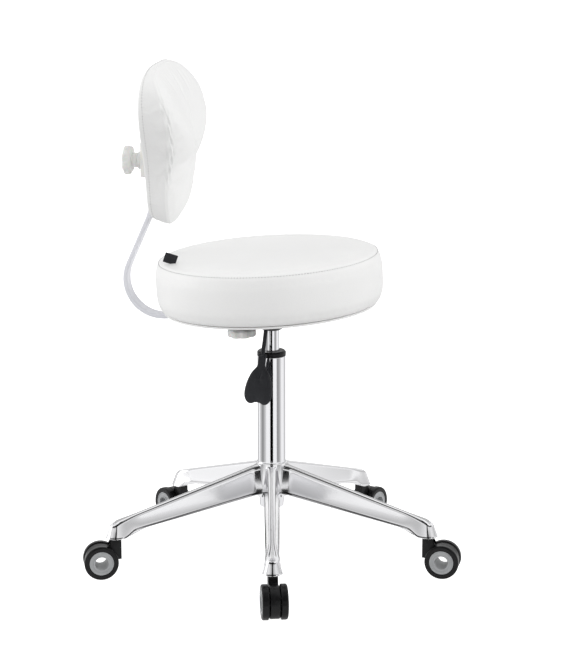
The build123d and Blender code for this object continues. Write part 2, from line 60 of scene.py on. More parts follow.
joints = {joint["name"]: joint for joint in frame["joints"]}

MM = 0.001
CASTORS = range(1, 6)


# ---------------------------------------------------------------- places taken from the frame
def joint_point(name):
    """Where a joint's axis passes, in metres."""
    return np.array(joints[name]["pos_m"], float)


def joint_axis(name):
    """A joint's unit direction."""
    return np.array(joints[name]["axis"], float)


def lowest(node):
    """The corner of a node's box where all three coordinates are smallest."""
    return np.array(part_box(node)[0])


def highest(node):
    """The corner of a node's box where all three coordinates are largest."""
    return np.array(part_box(node)[1])


def placement(x_axis, y_axis, z_axis, origin):
    """The 4x4 placement with the given axes and origin."""
    place = np.eye(4)
    place[:3, :3] = np.column_stack([x_axis, y_axis, z_axis])
    place[:3, 3] = origin
    return place


def axes(origin, x_axis, z_axis):
    """The 4x4 placement with a given origin whose Z is z_axis and whose X is nearest to x_axis."""
    z = np.array(z_axis, float) / np.linalg.norm(z_axis)
    x = np.array(x_axis, float) - z * np.dot(x_axis, z)
    x /= np.linalg.norm(x)
    return placement(x, np.cross(z, x), z, origin)


def castor_place(number):
    """A castor's placement: origin on the floor under its axle, X along its trail, Z up."""
    axle = joint_point(f"castor_{number}_roll_left")
    stem = joint_point(f"castor_{number}_swivel")
    trail = np.array([axle[0] - stem[0], axle[1] - stem[1], 0])
    return axes((axle[0], axle[1], 0), trail, (0, 0, 1))


slide = joint_axis("back_depth")
SEAT_TILT = math.atan2(-slide[2], slide[1])
SEAT_UNDERSIDE = 0.461
SEAT_PLACE = axes((0, 0, SEAT_UNDERSIDE), (1, 0, 0), (0, math.sin(SEAT_TILT), math.cos(SEAT_TILT)))
SEAT_CENTRE = SEAT_PLACE @ np.array(Matrix.Translation((0, 0.0008, 0)))


# ---------------------------------------------------------------- curves
def soften(outline, radius, steps=4, closed=True):
    """Rounds each corner of an outline with the parabola that touches both of its edges at the
    given distance from the corner, or at 45 percent of the edge if that is less."""
    corners = np.asarray(outline, float)
    back = np.roll(corners, 1, 0) - corners
    ahead = np.roll(corners, -1, 0) - corners
    back_length = np.linalg.norm(back, axis=1, keepdims=True)
    ahead_length = np.linalg.norm(ahead, axis=1, keepdims=True)
    reach = np.broadcast_to(np.asarray(radius, float).reshape(-1, 1), back_length.shape)
    start = corners + back / back_length * np.minimum(reach, 0.45 * back_length)
    end = corners + ahead / ahead_length * np.minimum(reach, 0.45 * ahead_length)
    t = np.linspace(0, 1, steps).reshape(1, -1, 1)
    arcs = start[:, None] * (1 - t) ** 2 + corners[:, None] * 2 * t * (1 - t) + end[:, None] * t**2
    if closed:
        return arcs.reshape(-1, corners.shape[1])
    return np.vstack([corners[:1], arcs[1:-1].reshape(-1, corners.shape[1]), corners[-1:]])


def smooth_line(points, count):
    """A curve through the points: cubic between each pair, with the slope at a point taken from
    its two neighbours, sampled evenly along its length."""
    p = np.asarray(points, float)
    padded = np.vstack([2 * p[0] - p[1], p, 2 * p[-1] - p[-2]])
    t = np.linspace(0, 1, 24, endpoint=False).reshape(1, -1, 1)
    a, b, c, d = (padded[k : len(padded) - 3 + k, None] for k in range(4))
    curve = 0.5 * (
        2 * b + (c - a) * t + (2 * a - 5 * b + 4 * c - d) * t**2 + (3 * b - a - 3 * c + d) * t**3
    )
    return evenly(np.vstack([curve.reshape(-1, p.shape[1]), p[-1:]]), count)


def evenly(line, count, closed=False):
    """Points at equal steps along a line of points."""
    if closed:
        line = np.vstack([line, line[:1]])
    length = np.concatenate([[0], np.cumsum(np.linalg.norm(np.diff(line, axis=0), axis=1))])
    at = np.linspace(0, length[-1], count, endpoint=not closed)
    return np.stack([np.interp(at, length, line[:, k]) for k in range(line.shape[1])], -1)


def step(value, low, high):
    """0 below low, 1 above high, and a smooth cubic between them."""
    t = np.clip((value - low) / (high - low), 0, 1)
    return t * t * (3 - 2 * t)


# ---------------------------------------------------------------- surfaces
def skin(grid, wrap_rows=False, wrap_columns=True, poles=(None, None)):
    """Points and faces of a grid of points. Four neighbours make a quad, and a pole point closes
    the first or last row with a fan of triangles."""
    rows, columns = grid.shape[:2]
    down = np.arange(rows if wrap_rows else rows - 1)
    along = np.arange(columns if wrap_columns else columns - 1)
    i, j = (k.ravel() for k in np.meshgrid(down, along, indexing="ij"))
    below = (i + 1) % rows
    beside = (j + 1) % columns
    quads = np.stack(
        [i * columns + j, i * columns + beside, below * columns + beside, below * columns + j], -1
    )
    points = grid.reshape(-1, 3)
    fans = np.zeros((0, 3), int)
    ring = np.arange(columns)
    after = (ring + 1) % columns
    for at_end, pole in enumerate(poles):
        if pole is None:
            continue
        row = (rows - 1) * columns * at_end
        middle = np.full(columns, len(points))
        points = np.vstack([points, np.reshape(pole, (1, 3))])
        order = [row + ring, row + after] if at_end else [row + after, row + ring]
        fans = np.vstack([fans, np.stack([*order, middle], -1)])
    return outward(points, quads, fans)


def outward(points, quads, fans):
    """Turns every face round if the closed skin's signed volume is negative."""
    corners = np.vstack([quads[:, [0, 1, 2]], quads[:, [0, 2, 3]], fans])
    a, b, c = (points[corners[:, k]] for k in range(3))
    if np.einsum("ij,ij->", a, np.cross(b, c)) < 0:
        quads, fans = quads[:, ::-1], fans[:, ::-1]
    return points, quads, fans


def moved(one_skin, place):
    """The same skin carried by a 4x4 placement."""
    points, quads, fans = one_skin
    return points @ place[:3, :3].T + place[:3, 3], quads, fans


def hold(profile, closed, reach=0.25 * MM):
    """Adds two points close to the ends of every long run, so that shading stays flat on it."""
    starts = profile if closed else profile[:-1]
    ends = np.roll(profile, -1, 0) if closed else profile[1:]
    run = ends - starts
    length = np.linalg.norm(run, axis=1, keepdims=True)
    near = np.where(length > 5 * reach, reach / np.maximum(length, 1e-12), 0.0)
    rows = np.stack([starts, starts + run * near, ends - run * near], 1)
    keep = np.ones(rows.shape[:2], bool)
    keep[near[:, 0] == 0, 1:] = False
    held = rows[keep]
    return held if closed else np.vstack([held, profile[-1:]])


def lathe(profile, segments=96, closed=False):
    """Carries (radius, height) points round the Z axis: x = r cos a, y = r sin a. An end on the
    axis becomes a pole."""
    profile = hold(np.asarray(profile, float), closed)
    poles = [None, None]
    if not closed:
        for end in (0, -1):
            if profile[end][0] < 1e-7:
                poles[end] = (0, 0, profile[end][1])
        profile = profile[profile[:, 0] > 1e-7]
    turn = np.linspace(0, 2 * math.pi, segments, endpoint=False)
    radius = profile[:, :1]
    height = np.broadcast_to(profile[:, 1:], (len(profile), segments))
    grid = np.stack([radius * np.cos(turn), radius * np.sin(turn), height], -1)
    return skin(grid, wrap_rows=closed, poles=poles)


def sweep(path, section, side=(1, 0, 0), caps=True):
    """Carries a closed (across, up) section along a path of points: each ring stands square to
    the path, with its first axis nearest to the given side."""
    path = np.asarray(path, float)
    ahead = np.gradient(path, axis=0)
    ahead /= np.linalg.norm(ahead, axis=1, keepdims=True)
    across = np.asarray(side, float) - ahead * (ahead @ np.asarray(side, float))[:, None]
    across /= np.linalg.norm(across, axis=1, keepdims=True)
    up = np.cross(ahead, across)
    section = np.asarray(section, float)
    grid = (
        path[:, None] + across[:, None] * section[None, :, :1] + up[:, None] * section[None, :, 1:]
    )
    return skin(grid, poles=(path[0], path[-1]) if caps else (None, None))


def rounded_sweep(path, section, edge, side=(1, 0, 0), steps=4):
    """A sweep whose two ends are rounded: the section shrinks by the edge over a quarter turn."""
    path = np.asarray(path, float)
    section = np.asarray(section, float)
    start = path[0] - path[1]
    start /= np.linalg.norm(start)
    end = path[-1] - path[-2]
    end /= np.linalg.norm(end)
    quarter = np.linspace(0, math.pi / 2, steps)
    middle = sweep(path, section, side, caps=False)[0].reshape(len(path), -1, 3)

    def close(ring, centre, direction, order):
        """Rings that shrink towards the centre as they move out: a quarter of a circle."""
        out = edge * np.sin(quarter)
        size = 1 - edge / np.abs(section).max() * (1 - np.cos(quarter))
        rings = centre + (ring - centre) * size[:, None, None] + direction * out[:, None, None]
        return rings[order]

    head = close(middle[0], path[0], start, slice(None, 0, -1))
    tail = close(middle[-1], path[-1], end, slice(1, None))
    grid = np.vstack([head, middle, tail])
    return skin(grid, poles=(path[0] + start * edge, path[-1] + end * edge))


def rounded_box_section(width, height, radius, steps=5):
    """A rectangle's outline with rounded corners, centred on the origin."""
    x, y = width / 2, height / 2
    return soften([(x, y), (-x, y), (-x, -y), (x, -y)], radius, steps)


def slab(outline, low, high, edge, hole=None, steps=4):
    """A plate cut to a closed outline in X and Y, from low to high in Z. Its edges are rounded by
    drawing the outline in towards its middle. With a hole, which has as many points as the
    outline, the faces run from one to the other; without, they meet at a pole."""
    outline = np.asarray(outline, float)
    middle = (outline.max(0) + outline.min(0)) / 2
    reach = np.linalg.norm(outline - middle, axis=1, keepdims=True)
    quarter = np.linspace(0, math.pi / 2, steps)
    draw = np.concatenate([edge * (1 - np.sin(quarter)), edge * (1 - np.cos(quarter))])
    height = np.concatenate(
        [low + edge * (1 - np.cos(quarter)), high - edge + edge * np.sin(quarter)]
    )
    shrink = 1 - draw[:, None, None] / reach[None]
    rings = middle + (outline - middle)[None] * shrink
    walls = np.broadcast_to(height[:, None, None], rings.shape[:2] + (1,))
    grid = np.concatenate([rings, walls], -1)
    if hole is None:
        return skin(grid, poles=((*middle, low), (*middle, high)))
    hole = np.asarray(hole, float)
    inner = [np.column_stack([hole, np.full(len(hole), z)]) for z in (high, low)]
    return skin(np.concatenate([grid, np.array(inner)]), wrap_rows=True)


def piece(name, skins, body, material, replaced=(), smooth_angle=None):
    """Joins skins into one object that rides on a body. A smooth_angle keeps sharper edges crisp."""
    points, faces, start = [], [], 0
    for one_points, quads, fans in skins:
        points.append(one_points)
        faces += (quads + start).tolist() + (fans + start).tolist()
        start += len(one_points)
    mesh = bpy.data.meshes.new(name)
    mesh.from_pydata(np.vstack(points).tolist(), [], faces)
    mesh.update()
    mesh.shade_smooth()
    if smooth_angle is not None:
        mesh.set_sharp_from_angle(angle=smooth_angle)
    mesh.materials.append(material)
    obj = bpy.data.objects.new(name, mesh)
    bpy.context.scene.collection.objects.link(obj)
    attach(obj, body)
    if replaced:
        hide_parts(*replaced)
    return obj


def keep_nodes(names, material):
    """Gives a material to CAD nodes that stay visible."""
    for name in names:
        mesh = frame["nodes"][name].data
        mesh.materials.clear()
        mesh.materials.append(material)


CRISP = math.radians(32)


# ---------------------------------------------------------------- material building blocks
class Nodes:
    """A short way to add nodes to a tree and wire them."""

    def __init__(self, tree):
        self.tree = tree

    def add(self, kind, values=None, **settings):
        """A node whose inputs are set to values or wired to other nodes' outputs."""
        node = self.tree.nodes.new(kind)
        for key, value in settings.items():
            setattr(node, key, value)
        for key, value in (values or {}).items():
            if isinstance(value, bpy.types.NodeSocket):
                self.tree.links.new(value, node.inputs[key])
            else:
                node.inputs[key].default_value = value
        return node

    def noise(self, where, scale, detail=3.0, roughness=0.55):
        """Noise from 0 to 1 at the given places."""
        values = {"Vector": where, "Scale": scale, "Detail": detail, "Roughness": roughness}
        return self.add("ShaderNodeTexNoise", values).outputs["Fac"]

    def math(self, operation, a, b=0.0, c=0.0, clamp=False):
        """The result of an operation on up to three numbers."""
        values = {0: a, 1: b, 2: c}
        node = self.add("ShaderNodeMath", values, operation=operation, use_clamp=clamp)
        return node.outputs[0]

    def remap(self, value, low, high, to_low, to_high):
        """A value carried in a straight line from one range to another, held at both ends."""
        values = {"Value": value, "From Min": low, "From Max": high, "To Min": to_low, "To Max": to_high}
        return self.add("ShaderNodeMapRange", values).outputs[0]

    def mix(self, factor, a, b):
        """A colour between a and b, at the given share of the way."""
        values = {0: factor, 6: a, 7: b}
        return self.add("ShaderNodeMix", values, data_type="RGBA").outputs[2]


def new_group(name, inputs, outputs):
    """An empty shader group with named float, colour or vector sockets."""
    group = bpy.data.node_groups.new(name, "ShaderNodeTree")
    kinds = {"f": "NodeSocketFloat", "c": "NodeSocketColor", "v": "NodeSocketVector"}
    for label, kind, default in inputs:
        socket = group.interface.new_socket(label, in_out="INPUT", socket_type=kinds[kind])
        if default is not None:
            socket.default_value = default
    for label, kind in outputs:
        group.interface.new_socket(label, in_out="OUTPUT", socket_type=kinds[kind])
    build = Nodes(group)
    entry = build.add("NodeGroupInput").outputs
    leave = build.add("NodeGroupOutput").inputs
    return group, build, entry, leave


def leather_group():
    """Leatherette: pebbles from a cell pattern bent by noise, finer creases between them, and a
    slow drift of tone."""
    group, build, entry, leave = new_group(
        "leather_grain",
        [
            ("Vector", "v", None),
            ("Grain Scale", "f", 900.0),
            ("Light Tone", "c", (0.9, 0.9, 0.9, 1)),
            ("Deep Tone", "c", (0.8, 0.8, 0.8, 1)),
            ("Roughness", "f", 0.45),
        ],
        [("Color", "c"), ("Roughness", "f"), ("Height", "f")],
    )
    bend = build.add("ShaderNodeTexNoise", {"Vector": entry["Vector"], "Scale": 240.0, "Detail": 2.0})
    shift = build.add(
        "ShaderNodeVectorMath", {0: bend.outputs["Color"], 3: 0.0016}, operation="SCALE"
    ).outputs[0]
    where = build.add("ShaderNodeVectorMath", {0: entry["Vector"], 1: shift}, operation="ADD").outputs[0]
    cells = build.add(
        "ShaderNodeTexVoronoi", {"Vector": where, "Scale": entry["Grain Scale"]}, feature="SMOOTH_F1"
    ).outputs["Distance"]
    fine = build.noise(entry["Vector"], 2600.0, 2.0)
    height = build.math("MULTIPLY_ADD", fine, 0.25, build.math("SUBTRACT", 1.0, cells))
    drift = build.noise(entry["Vector"], 9.0, 3.0)
    crease = build.remap(cells, 0.35, 0.8, 0.0, 0.35)
    amount = build.math("MULTIPLY_ADD", drift, 0.5, crease, clamp=True)
    build.tree.links.new(build.mix(amount, entry["Light Tone"], entry["Deep Tone"]), leave["Color"])
    rough = build.math("MULTIPLY_ADD", build.math("SUBTRACT", drift, 0.5), 0.22, entry["Roughness"])
    build.tree.links.new(rough, leave["Roughness"])
    build.tree.links.new(height, leave["Height"])
    return group


def wear_group():
    """Handling marks for hard surfaces: edges rubbed lighter where the surface is convex, smears
    that change the roughness, and short scratches from stretched noise."""
    group, build, entry, leave = new_group(
        "edge_wear",
        [
            ("Vector", "v", None),
            ("Base Tone", "c", (0.5, 0.5, 0.5, 1)),
            ("Worn Tone", "c", (0.7, 0.7, 0.7, 1)),
            ("Edge Amount", "f", 0.5),
            ("Roughness", "f", 0.3),
            ("Smear Amount", "f", 0.15),
        ],
        [("Color", "c"), ("Roughness", "f"), ("Height", "f")],
    )
    convex = build.add("ShaderNodeNewGeometry").outputs["Pointiness"]
    patch = build.noise(entry["Vector"], 55.0, 4.0)
    edge = build.remap(build.math("MULTIPLY_ADD", patch, 0.05, convex), 0.53, 0.62, 0.0, 1.0)
    worn = build.math("MULTIPLY", edge, entry["Edge Amount"], clamp=True)
    drift = build.remap(build.noise(entry["Vector"], 7.0, 3.0), 0.3, 0.7, 0.0, 0.12)
    tone = build.mix(build.math("ADD", worn, drift, clamp=True), entry["Base Tone"], entry["Worn Tone"])
    smear = build.math("SUBTRACT", build.noise(entry["Vector"], 28.0, 5.0, 0.65), 0.5)
    rough = build.math("MULTIPLY_ADD", smear, entry["Smear Amount"], entry["Roughness"], clamp=True)
    stretch = build.add(
        "ShaderNodeVectorMath", {0: entry["Vector"], 1: (900.0, 900.0, 60.0)}, operation="MULTIPLY"
    )
    scratch = build.noise(stretch.outputs[0], 1.0, 2.0)
    build.tree.links.new(tone, leave["Color"])
    build.tree.links.new(rough, leave["Roughness"])
    build.tree.links.new(scratch, leave["Height"])
    return group


def moulded_group():
    """Spark-eroded mould texture: fine speckle over a faint flow mottling."""
    group, build, entry, leave = new_group(
        "moulded_texture",
        [
            ("Vector", "v", None),
            ("Speckle Scale", "f", 1800.0),
            ("Tone", "c", (0.5, 0.5, 0.5, 1)),
            ("Mottle Tone", "c", (0.4, 0.4, 0.4, 1)),
            ("Roughness", "f", 0.45),
        ],
        [("Color", "c"), ("Roughness", "f"), ("Height", "f")],
    )
    speckle = build.noise(entry["Vector"], entry["Speckle Scale"], 1.0)
    mottle = build.remap(build.noise(entry["Vector"], 40.0, 4.0), 0.35, 0.65, 0.0, 1.0)
    build.tree.links.new(build.mix(mottle, entry["Tone"], entry["Mottle Tone"]), leave["Color"])
    rough = build.math("MULTIPLY_ADD", build.math("SUBTRACT", mottle, 0.5), 0.1, entry["Roughness"])
    build.tree.links.new(rough, leave["Roughness"])
    build.tree.links.new(speckle, leave["Height"])
    return group


def tinted(colour, factor):
    """A colour made lighter or darker by a factor, with full alpha."""
    return (*[min(1.0, channel * factor) for channel in colour[:3]], 1)


def material_from(name, group, values, bump, distance, metallic=0.0, extras=None):
    """A material whose colour, roughness and bump come from a group placed on Object coordinates."""
    made = bpy.data.materials.new(name)
    made.use_nodes = True
    made.node_tree.nodes.clear()
    build = Nodes(made.node_tree)
    where = build.add("ShaderNodeTexCoord").outputs["Object"]
    texture = build.add("ShaderNodeGroup", node_tree=group)
    made.node_tree.links.new(where, texture.inputs["Vector"])
    for key, value in values.items():
        texture.inputs[key].default_value = value
    shader = build.add(
        "ShaderNodeBsdfPrincipled",
        {
            "Base Color": texture.outputs["Color"],
            "Roughness": texture.outputs["Roughness"],
            "Metallic": metallic,
            **(extras or {}),
        },
    )
    raised = build.add(
        "ShaderNodeBump", {"Strength": bump, "Distance": distance, "Height": texture.outputs["Height"]}
    )
    made.node_tree.links.new(raised.outputs["Normal"], shader.inputs["Normal"])
    output = build.add("ShaderNodeOutputMaterial")
    made.node_tree.links.new(shader.outputs[0], output.inputs["Surface"])
    return made


def wood_material():
    """Birch plywood: rings drawn out along X over a noise, light and dark."""
    made = bpy.data.materials.new("birch_plywood")
    made.use_nodes = True
    made.node_tree.nodes.clear()
    build = Nodes(made.node_tree)
    where = build.add("ShaderNodeTexCoord").outputs["Object"]
    drawn = build.add("ShaderNodeVectorMath", {0: where, 1: (6.0, 70.0, 400.0)}, operation="MULTIPLY")
    grain = build.noise(drawn.outputs[0], 1.0, 5.0)
    tone = build.mix(build.remap(grain, 0.3, 0.7, 0, 1), (0.62, 0.45, 0.27, 1), (0.44, 0.29, 0.16, 1))
    shader = build.add("ShaderNodeBsdfPrincipled", {"Base Color": tone})
    made.node_tree.links.new(build.remap(grain, 0.2, 0.8, 0.5, 0.7), shader.inputs["Roughness"])
    raised = build.add("ShaderNodeBump", {"Strength": 0.3, "Distance": 0.0003, "Height": grain})
    made.node_tree.links.new(raised.outputs["Normal"], shader.inputs["Normal"])
    output = build.add("ShaderNodeOutputMaterial")
    made.node_tree.links.new(shader.outputs[0], output.inputs["Surface"])
    return made


finishes = {}


def finish(name):
    """A finish made by the materials operator."""
    return finishes[name]


# ---------------------------------------------------------------- settings
class StoolColours(bpy.types.PropertyGroup):
    leather: FloatVectorProperty(
        name="Leather", description="Seat and backrest cover", subtype="COLOR", default=(0.885, 0.885, 0.88)
    )
    bar: FloatVectorProperty(
        name="Back bar", description="Powder coat of the bar", subtype="COLOR", default=(0.78, 0.785, 0.83)
    )
    knobs: FloatVectorProperty(
        name="Knobs", description="Moulded knobs and bracket", subtype="COLOR", default=(0.84, 0.84, 0.82)
    )
    black: FloatVectorProperty(
        name="Black parts", description="Moulded black parts", subtype="COLOR",
        default=(0.0065, 0.0065, 0.007),
    )
    lever: FloatVectorProperty(
        name="Lever", description="Release lever", subtype="COLOR", default=(0.021, 0.022, 0.026)
    )
    rims: FloatVectorProperty(
        name="Rims", description="Castor rims", subtype="COLOR", default=(0.44, 0.45, 0.46)
    )


class StoolSizes(bpy.types.PropertyGroup):
    seat_seam_radius: FloatProperty(
        name="Seat seam radius", description="Radius of the seat's top edge", default=0.1895, unit="LENGTH"
    )
    stitch_pitch: FloatProperty(
        name="Stitch pitch", description="Distance between stitches", default=0.0052, unit="LENGTH"
    )
    puff: FloatProperty(
        name="Puff", description="How far the padding may swell", default=0.006, unit="LENGTH"
    )
    knob_lobes: IntProperty(name="Knob lobes", description="Lobes round each clamp knob", default=7)
    gather_depth: FloatProperty(
        name="Gather depth", description="Height of the gathers beside the back seam", default=0.0031,
        unit="LENGTH",
    )


def colours():
    """The colours that the user has chosen."""
    return bpy.context.scene.stool_colours


def sizes():
    """The sizes that the user has chosen."""
    return bpy.context.scene.stool_sizes


# ---------------------------------------------------------------- operators
class StoolOperator(bpy.types.Operator):
    """Shared way of running: each piece operator fills build() and raises if it can't finish."""

    bl_idname = "stool.base_class"
    bl_label = "Stool piece"
    bl_options = {"REGISTER", "UNDO"}

    def execute(self, context):
        self.build()
        return {"FINISHED"}


class STOOL_OT_finishes(StoolOperator):
    """Makes the finishes that the pieces share"""

    bl_idname = "stool.finishes"
    bl_label = "Finishes"

    def build(self):
        leather, wear, moulded = leather_group(), wear_group(), moulded_group()
        tones = colours()
        white = tones.leather
        finishes["leather"] = material_from(
            "white_leatherette",
            leather,
            {"Light Tone": tinted(white, 1.03), "Deep Tone": tinted(white, 0.93), "Roughness": 0.42},
            0.35,
            0.00025,
            extras={"Specular IOR Level": 0.45, "Sheen Weight": 0.05},
        )
        finishes["thread"] = material_from(
            "waxed_thread",
            moulded,
            {"Tone": tinted(white, 0.66), "Mottle Tone": tinted(white, 0.55), "Speckle Scale": 5000.0},
            0.5,
            0.0002,
        )
        finishes["tag"] = material_from(
            "woven_black_tag",
            moulded,
            {"Tone": (0.012, 0.012, 0.016, 1), "Mottle Tone": (0.02, 0.02, 0.026, 1),
             "Speckle Scale": 1500.0, "Roughness": 0.75},
            0.6,
            0.0003,
        )
        finishes["chrome"] = material_from(
            "chrome_plate",
            wear,
            {"Base Tone": (0.83, 0.83, 0.85, 1), "Worn Tone": (0.9, 0.9, 0.91, 1),
             "Roughness": 0.06, "Smear Amount": 0.05, "Edge Amount": 0.2},
            0.02,
            0.00005,
            metallic=1.0,
        )
        finishes["aluminium"] = material_from(
            "polished_aluminium",
            wear,
            {"Base Tone": (0.84, 0.84, 0.855, 1), "Worn Tone": (0.93, 0.93, 0.94, 1),
             "Roughness": 0.1, "Smear Amount": 0.06, "Edge Amount": 0.5},
            0.05,
            0.0001,
            metallic=1.0,
        )
        finishes["zinc"] = material_from(
            "zinc_plate",
            wear,
            {"Base Tone": (0.6, 0.6, 0.62, 1), "Worn Tone": (0.75, 0.75, 0.76, 1), "Roughness": 0.32},
            0.1,
            0.0001,
            metallic=1.0,
        )
        finishes["bar"] = material_from(
            "pale_powder_coat",
            wear,
            {"Base Tone": tinted(tones.bar, 1.0), "Worn Tone": tinted(tones.bar, 1.12),
             "Roughness": 0.36, "Edge Amount": 0.35},
            0.12,
            0.0001,
            extras={"Coat Weight": 0.25, "Coat Roughness": 0.25},
        )
        finishes["black_steel"] = material_from(
            "black_powder_coat",
            wear,
            {"Base Tone": tinted(tones.black, 1.2), "Worn Tone": tinted(tones.black, 3.5),
             "Roughness": 0.42, "Edge Amount": 0.35},
            0.3,
            0.0002,
        )
        finishes["black_plastic"] = material_from(
            "black_moulding",
            moulded,
            {"Tone": tinted(tones.black, 1.0), "Mottle Tone": tinted(tones.black, 1.5), "Roughness": 0.3},
            0.2,
            0.0001,
            extras={"Specular IOR Level": 0.22},
        )
        finishes["tread"] = material_from(
            "castor_tread",
            moulded,
            {"Tone": tinted(tones.black, 1.0), "Mottle Tone": tinted(tones.black, 1.6), "Roughness": 0.24,
             "Speckle Scale": 900.0},
            0.12,
            0.0001,
            extras={"Specular IOR Level": 0.2},
        )
        finishes["rim"] = material_from(
            "grey_moulding",
            moulded,
            {"Tone": tinted(tones.rims, 1.0), "Mottle Tone": tinted(tones.rims, 0.86), "Roughness": 0.4},
            0.2,
            0.0001,
        )
        finishes["knob"] = material_from(
            "white_moulding",
            moulded,
            {"Tone": tinted(tones.knobs, 1.0), "Mottle Tone": tinted(tones.knobs, 0.93), "Roughness": 0.38},
            0.2,
            0.0001,
            extras={"Subsurface Weight": 0.08, "Subsurface Scale": 0.004},
        )
        finishes["lever"] = material_from(
            "lever_moulding",
            moulded,
            {"Tone": tinted(tones.lever, 1.0), "Mottle Tone": tinted(tones.lever, 0.85), "Roughness": 0.5,
             "Speckle Scale": 1300.0},
            0.4,
            0.00015,
            extras={"Specular IOR Level": 0.25},
        )
        finishes["wood"] = wood_material()
        threaded = ["castor_stems", "seat_bolts", "back_screws", "depth_stud", "height_stud"]
        keep_nodes(threaded, finish("zinc"))
        keep_nodes(["retaining_clip", "thrust_bearing", "piston_rod", "valve_pin"], finish("zinc"))
        keep_nodes(["seat_plate", "bar_channel"], finish("black_steel"))
        keep_nodes(["seat_board", "back_board"], finish("wood"))


# Star base, in millimetres from its centre
HUB_R = 27.0
LEG_ROOT_R = 20.0
LEG_DROP_R = 250.0
CASTOR_R = 285.3
SOCKET_BOTTOM = 70.5
FOOT_START_R = 232.0
CASTING_EDGE = math.radians(50)


def leg_top(r):
    """Height of a leg's top ridge."""
    return 183.0 - 0.308 * (np.minimum(r, CASTOR_R + 4) - 12.0)


def leg_bottom(r):
    """Height of a leg's lower edge, which drops to the castor socket near the tip."""
    straight = 129.0 - 0.194 * (r - 12.0)
    end = 129.0 - 0.194 * (LEG_DROP_R - 12.0)
    return np.where(r < LEG_DROP_R, straight, end + (SOCKET_BOTTOM - end) * step(r, LEG_DROP_R, 274.0))


def leg_skin():
    """One leg along +X. Every row is the same hairpin plan line, straight out, half round the
    castor's axis and straight back. A row's half-width and height set how far the hairpin
    stands out and where it lies between the leg's top ridge and lower edge. The rows go from
    the middle of the top, down the slightly hollow side, round the lip and up the channel."""
    straight, tip = 44, 25
    quarter = math.pi / 2
    along = np.concatenate(
        [np.linspace(0, 1, straight) ** 0.8, np.ones(tip), np.linspace(1, 0, straight) ** 0.8]
    )
    turn = np.concatenate(
        [np.full(straight, -quarter), np.linspace(-quarter, quarter, tip), np.full(straight, quarter)]
    )
    # share of the height, share of the way from the top's half-width to the bottom's, extra width
    outer = [
        (0.0, 0.0, -99.0), (0.0, 0.0, -3.6), (0.008, 0.0, -2.4), (0.022, 0.0, -1.3), (0.045, 0.01, -0.5),
        (0.08, 0.03, -0.05), (0.2, 0.11, 0.0), (0.35, 0.23, 0.0), (0.5, 0.38, 0.0), (0.65, 0.55, 0.0),
        (0.8, 0.75, 0.0), (0.88, 0.88, 0.0), (0.925, 0.96, 0.2), (0.94, 1.0, 1.2), (0.96, 1.0, 1.6),
        (0.985, 1.0, 1.6), (1.0, 1.0, 1.0), (1.0, 1.0, -1.0),
    ]
    rings = []
    r = LEG_ROOT_R + along * (CASTOR_R - LEG_ROOT_R)
    outward_share = step(r, FOOT_START_R, CASTOR_R)
    for level, share, extra in outer:
        top_half = 7.0 - 1.5 * along + 3.6 * outward_share**2
        bottom_half = 12.5 - 2.5 * along + 7.4 * outward_share**1.5
        fillet = 6.0 * (1 - np.sqrt(1 - np.clip((33.5 - r) / 6.3, 0, 0.995) ** 2))
        lip = extra * (1 - 0.85 * outward_share) if extra > 0 else extra
        flare = share + (level - share) * outward_share
        half = np.maximum(top_half + (bottom_half - top_half) * flare + lip, 0) + fillet * (extra > -50)
        x = r + half * np.cos(turn)
        y = half * np.sin(turn)
        reach = np.where(turn**2 < quarter**2, CASTOR_R, r)
        shoulder = 3.5 * step(x, CASTOR_R - 6, CASTOR_R + 8) * (1 - level)
        z = leg_top(x) * (1 - level) + leg_bottom(reach) * level - shoulder
        rings.append(np.stack([x, y, z], -1))
    channel = [(1.0, -3.5, 0.0), (0.85, -4.0, -1.5), (0.35, -3.5, -3.0), (0.2, -3.0, -99.0)]
    for level, extra, narrow in channel:
        r = LEG_ROOT_R + along * (LEG_DROP_R - 8 - LEG_ROOT_R)
        half = np.maximum(12.5 - 2.5 * along + extra + narrow, 0)
        x = r + half * np.cos(turn)
        y = half * np.sin(turn)
        z = leg_top(x) * (1 - level) + leg_bottom(r) * level
        rings.append(np.stack([x, y, z], -1))
    return skin(np.array(rings) * MM, wrap_rows=True, wrap_columns=False)


class STOOL_OT_star_base(StoolOperator):
    """Builds the five-legged base: lathe-made hub and five hairpin legs"""

    bl_idname = "stool.star_base"
    bl_label = "Star base"

    def build(self):
        hub = [(25.15, 120), (26, 119.2), (HUB_R - 0.6, 120), (HUB_R, 121.5), (HUB_R, 160), (HUB_R, 181.6),
               (26.5, 183.2), (25.9, 183.4), (25.15, 183.0), (25.15, 150)]
        skins = [lathe(np.array(hub) * MM, 128, closed=True)]
        leg = leg_skin()
        for number in CASTORS:
            spot = joint_point(f"castor_{number}_swivel")
            place = axes((0, 0, 0), (spot[0], spot[1], 0), (0, 0, 1))
            skins.append(moved(leg, place))
        obj = piece(
            "base_casting", skins, "base", finish("aluminium"), ["star_base"]
        )
        close_openings(obj)
        obj.data.set_sharp_from_angle(angle=CASTING_EDGE)


def close_openings(obj):
    """Merges points that meet, fills the open ends and points every face outwards."""
    work = bmesh.new()
    work.from_mesh(obj.data)
    bmesh.ops.remove_doubles(work, verts=work.verts, dist=1e-5)
    rim = [edge for edge in work.edges if edge.is_boundary]
    bmesh.ops.holes_fill(work, edges=rim, sides=0)
    bmesh.ops.dissolve_degenerate(work, edges=work.edges, dist=1e-6)
    bmesh.ops.recalc_face_normals(work, faces=work.faces)
    work.to_mesh(obj.data)
    work.free()
    obj.data.shade_smooth()


